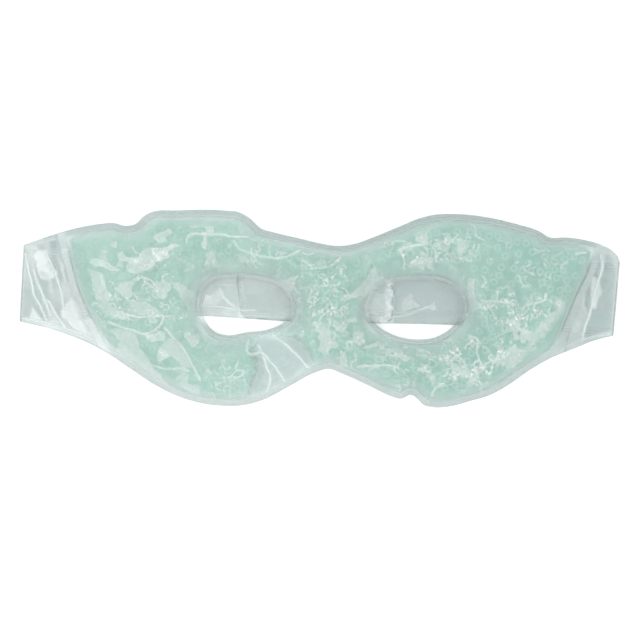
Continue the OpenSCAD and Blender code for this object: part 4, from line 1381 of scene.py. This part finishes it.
def tape(points_z, ripple_seed):
    """The flat base of a pad between two heights, with a slightly uneven face."""
    loop = rounded_box(PAD_SIZE[0] / 2, PAD_SIZE[1] / 2, PAD_CORNER) + np.array(PAD_CENTRE)
    points, tris = triangulated(loop, [], 0.7)
    ripple = 0.03 * noise(points, 2.0, ripple_seed, 2)
    low, high = points_z
    return points, tris, low + ripple * 0.5, high - ripple


def ringed(rings, ends):
    """A closed surface through rings of points, with one point at each end."""
    count, sides, _ = rings.shape
    k = np.arange(sides)
    after = (k + 1) % sides
    tris = []
    for first in range(0, (count - 1) * sides, sides):
        a, b = first + k, first + after
        tris += [(a, b, b + sides), (a, b + sides, a + sides)]
    last = (count - 1) * sides
    start, end = np.full(sides, count * sides), np.full(sides, count * sides + 1)
    tris += [(start, after, k), (end, last + k, last + after)]
    return np.vstack([rings.reshape(-1, 3), ends]), np.vstack([np.column_stack(q) for q in tris])


def tube(path, radius, sides=5):
    """A closed tube along a short path in a plane across y."""
    ahead = np.gradient(path, axis=0)
    ahead /= np.linalg.norm(ahead, axis=1)[:, None]
    n1 = np.cross(ahead, (0.0, 1.0, 0.0))
    n2 = np.cross(ahead, n1)
    t = (2 * math.pi * np.arange(sides) / sides)[None, :, None]
    rings = path[:, None] + radius * (np.cos(t) * n1[:, None] + np.sin(t) * n2[:, None])
    return ringed(rings, path[[0, -1]])


def mushroom(stem, head, height, sides=8):
    """A hook: a stem with a rounded head, pointing down."""
    profile = [
        (stem * 1.4, 0.02), (stem, -0.06), (stem, -height * 0.6), (head, -height * 0.68),
        (head * 0.95, -height * 0.82), (head * 0.5, -height),
    ]
    t = 2 * math.pi * np.arange(sides) / sides
    rings = np.array([
        np.column_stack([r * np.cos(t), r * np.sin(t), np.full(sides, z)]) for r, z in profile
    ])
    points, tris = ringed(rings, [[0, 0, profile[0][1]], [0, 0, -height]])
    return points, tris[:, ::-1]


def pad(name, base_z, seed, part, places, material):
    """A tape's base with a small part at each place, turned at random."""
    points, tris, low, high = tape(base_z, seed)
    base_points, base_tris = closed_sheet(raised(points, high), raised(points, low), tris)
    part_points, part_tris = part
    turns = np.random.default_rng(seed).uniform(0, math.pi, len(places))
    all_points, all_tris = [base_points], [base_tris]
    for k, (place, turn) in enumerate(zip(places, turns)):
        c, s = math.cos(turn), math.sin(turn)
        all_points.append(part_points @ np.array([[c, s, 0], [-s, c, 0], [0, 0, 1]]) + place)
        all_tris.append(part_tris + len(base_points) + k * len(part_points))
    return mesh_object(name, np.vstack(all_points), np.vstack(all_tris), material)


def pad_lattice(step, margin, z):
    half = np.array(PAD_SIZE) / 2 - margin
    xs = np.arange(-half[0], half[0] + 1e-6, step)
    ys = np.arange(-half[1], half[1] + 1e-6, step)
    grid = np.array([(x, y) for x in xs for y in ys])
    loop = rounded_box(half[0], half[1], PAD_CORNER - margin / 2)
    grid = grid[inside(grid * 0.999, loop)]
    return np.column_stack([grid + np.array(PAD_CENTRE), np.full(len(grid), z)])


# Each tape: height of its base, spacing of its loops or hooks, and their sizes
LOOP_BASE, LOOP_STEP, LOOP_HALF_W, LOOP_RISE, THREAD_R = 0.32, 0.72, 0.42, 0.43, 0.05
HOOK_BASE, HOOK_STEP, HOOK_STEM_R, HOOK_HEAD_R, HOOK_LENGTH = 0.3, 0.95, 0.1, 0.24, 0.39
arch_t = np.linspace(0, math.pi, 8)
arch = np.column_stack([
    LOOP_HALF_W * np.cos(arch_t), np.zeros(len(arch_t)), LOOP_RISE * np.sin(arch_t),
])
loops = pad(
    "loop_pad_tape", (STRAP_T + 0.01, STRAP_T + LOOP_BASE), 15, tube(arch, THREAD_R),
    pad_lattice(LOOP_STEP, 0.7, STRAP_T + LOOP_BASE - 0.02), LOOPS,
)
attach(loops, "right_strap")
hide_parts("loop_pad")
hooks = pad(
    "hook_pad_tape", (OVERLAP_Z - HOOK_BASE, OVERLAP_Z - 0.01), 16,
    mushroom(HOOK_STEM_R, HOOK_HEAD_R, HOOK_LENGTH),
    pad_lattice(HOOK_STEP, 0.8, OVERLAP_Z - HOOK_BASE), HOOKS,
)
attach(hooks, "left_strap")
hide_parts("hook_pad")

# ---------------------------------------------------------------- studio
FLOOR_HALF = 3.0
floor_mesh = bpy.data.meshes.new("floor")
floor_mesh.from_pydata(
    [(x * FLOOR_HALF, y * FLOOR_HALF, 0) for x, y in ((-1, -1), (1, -1), (1, 1), (-1, 1))],
    [], [(0, 1, 2, 3)],
)
floor_mesh.materials.append(floor_material())
floor = bpy.data.objects.new("floor", floor_mesh)
floor.location.z = -0.0002
scene.collection.objects.link(floor)

world = bpy.data.worlds.new("studio")
scene.world = world
world.use_nodes = True
world.node_tree.nodes["Background"].inputs["Color"].default_value = (1.0, 1.0, 1.0, 1)
world.node_tree.nodes["Background"].inputs["Strength"].default_value = 0.98


def softbox(name, place, aim, size, power, colour=(1, 1, 1)):
    lamp = bpy.data.lights.new(name, "AREA")
    lamp.shape = "RECTANGLE"
    lamp.size, lamp.size_y = size
    lamp.energy = power
    lamp.color = colour
    obj = bpy.data.objects.new(name, lamp)
    obj.location = place
    obj.rotation_euler = (Vector(aim) - Vector(place)).to_track_quat("-Z", "Y").to_euler()
    scene.collection.objects.link(obj)
    return obj


softbox("key", (-0.35, -0.15, 1.1), (0, 0, 0), (0.7, 0.5), 2.75)
softbox("fill", (0.7, -0.3, 0.8), (0, 0, 0), (0.6, 0.6), 0.8)
softbox("strip", (0.25, 0.75, 0.45), (0, 0, 0), (0.9, 0.12), 0.55)

IMAGE_WIDTH_M = 0.256
IMAGE_CENTRE = (0.0002, -0.0046, 0.004)
LENS = 200.0
SENSOR = 36.0
camera_data = bpy.data.cameras.new("camera")
camera_data.lens = LENS
camera_data.sensor_width = SENSOR
camera_data.clip_end = 20
camera = bpy.data.objects.new("camera", camera_data)
camera.location = Vector(IMAGE_CENTRE) + Vector((0, 0, IMAGE_WIDTH_M * LENS / SENSOR))
scene.collection.objects.link(camera)
scene.camera = camera
scene.view_settings.view_transform = "Standard"
scene.cycles.transparent_max_bounces = 48
scene.cycles.max_bounces = 16
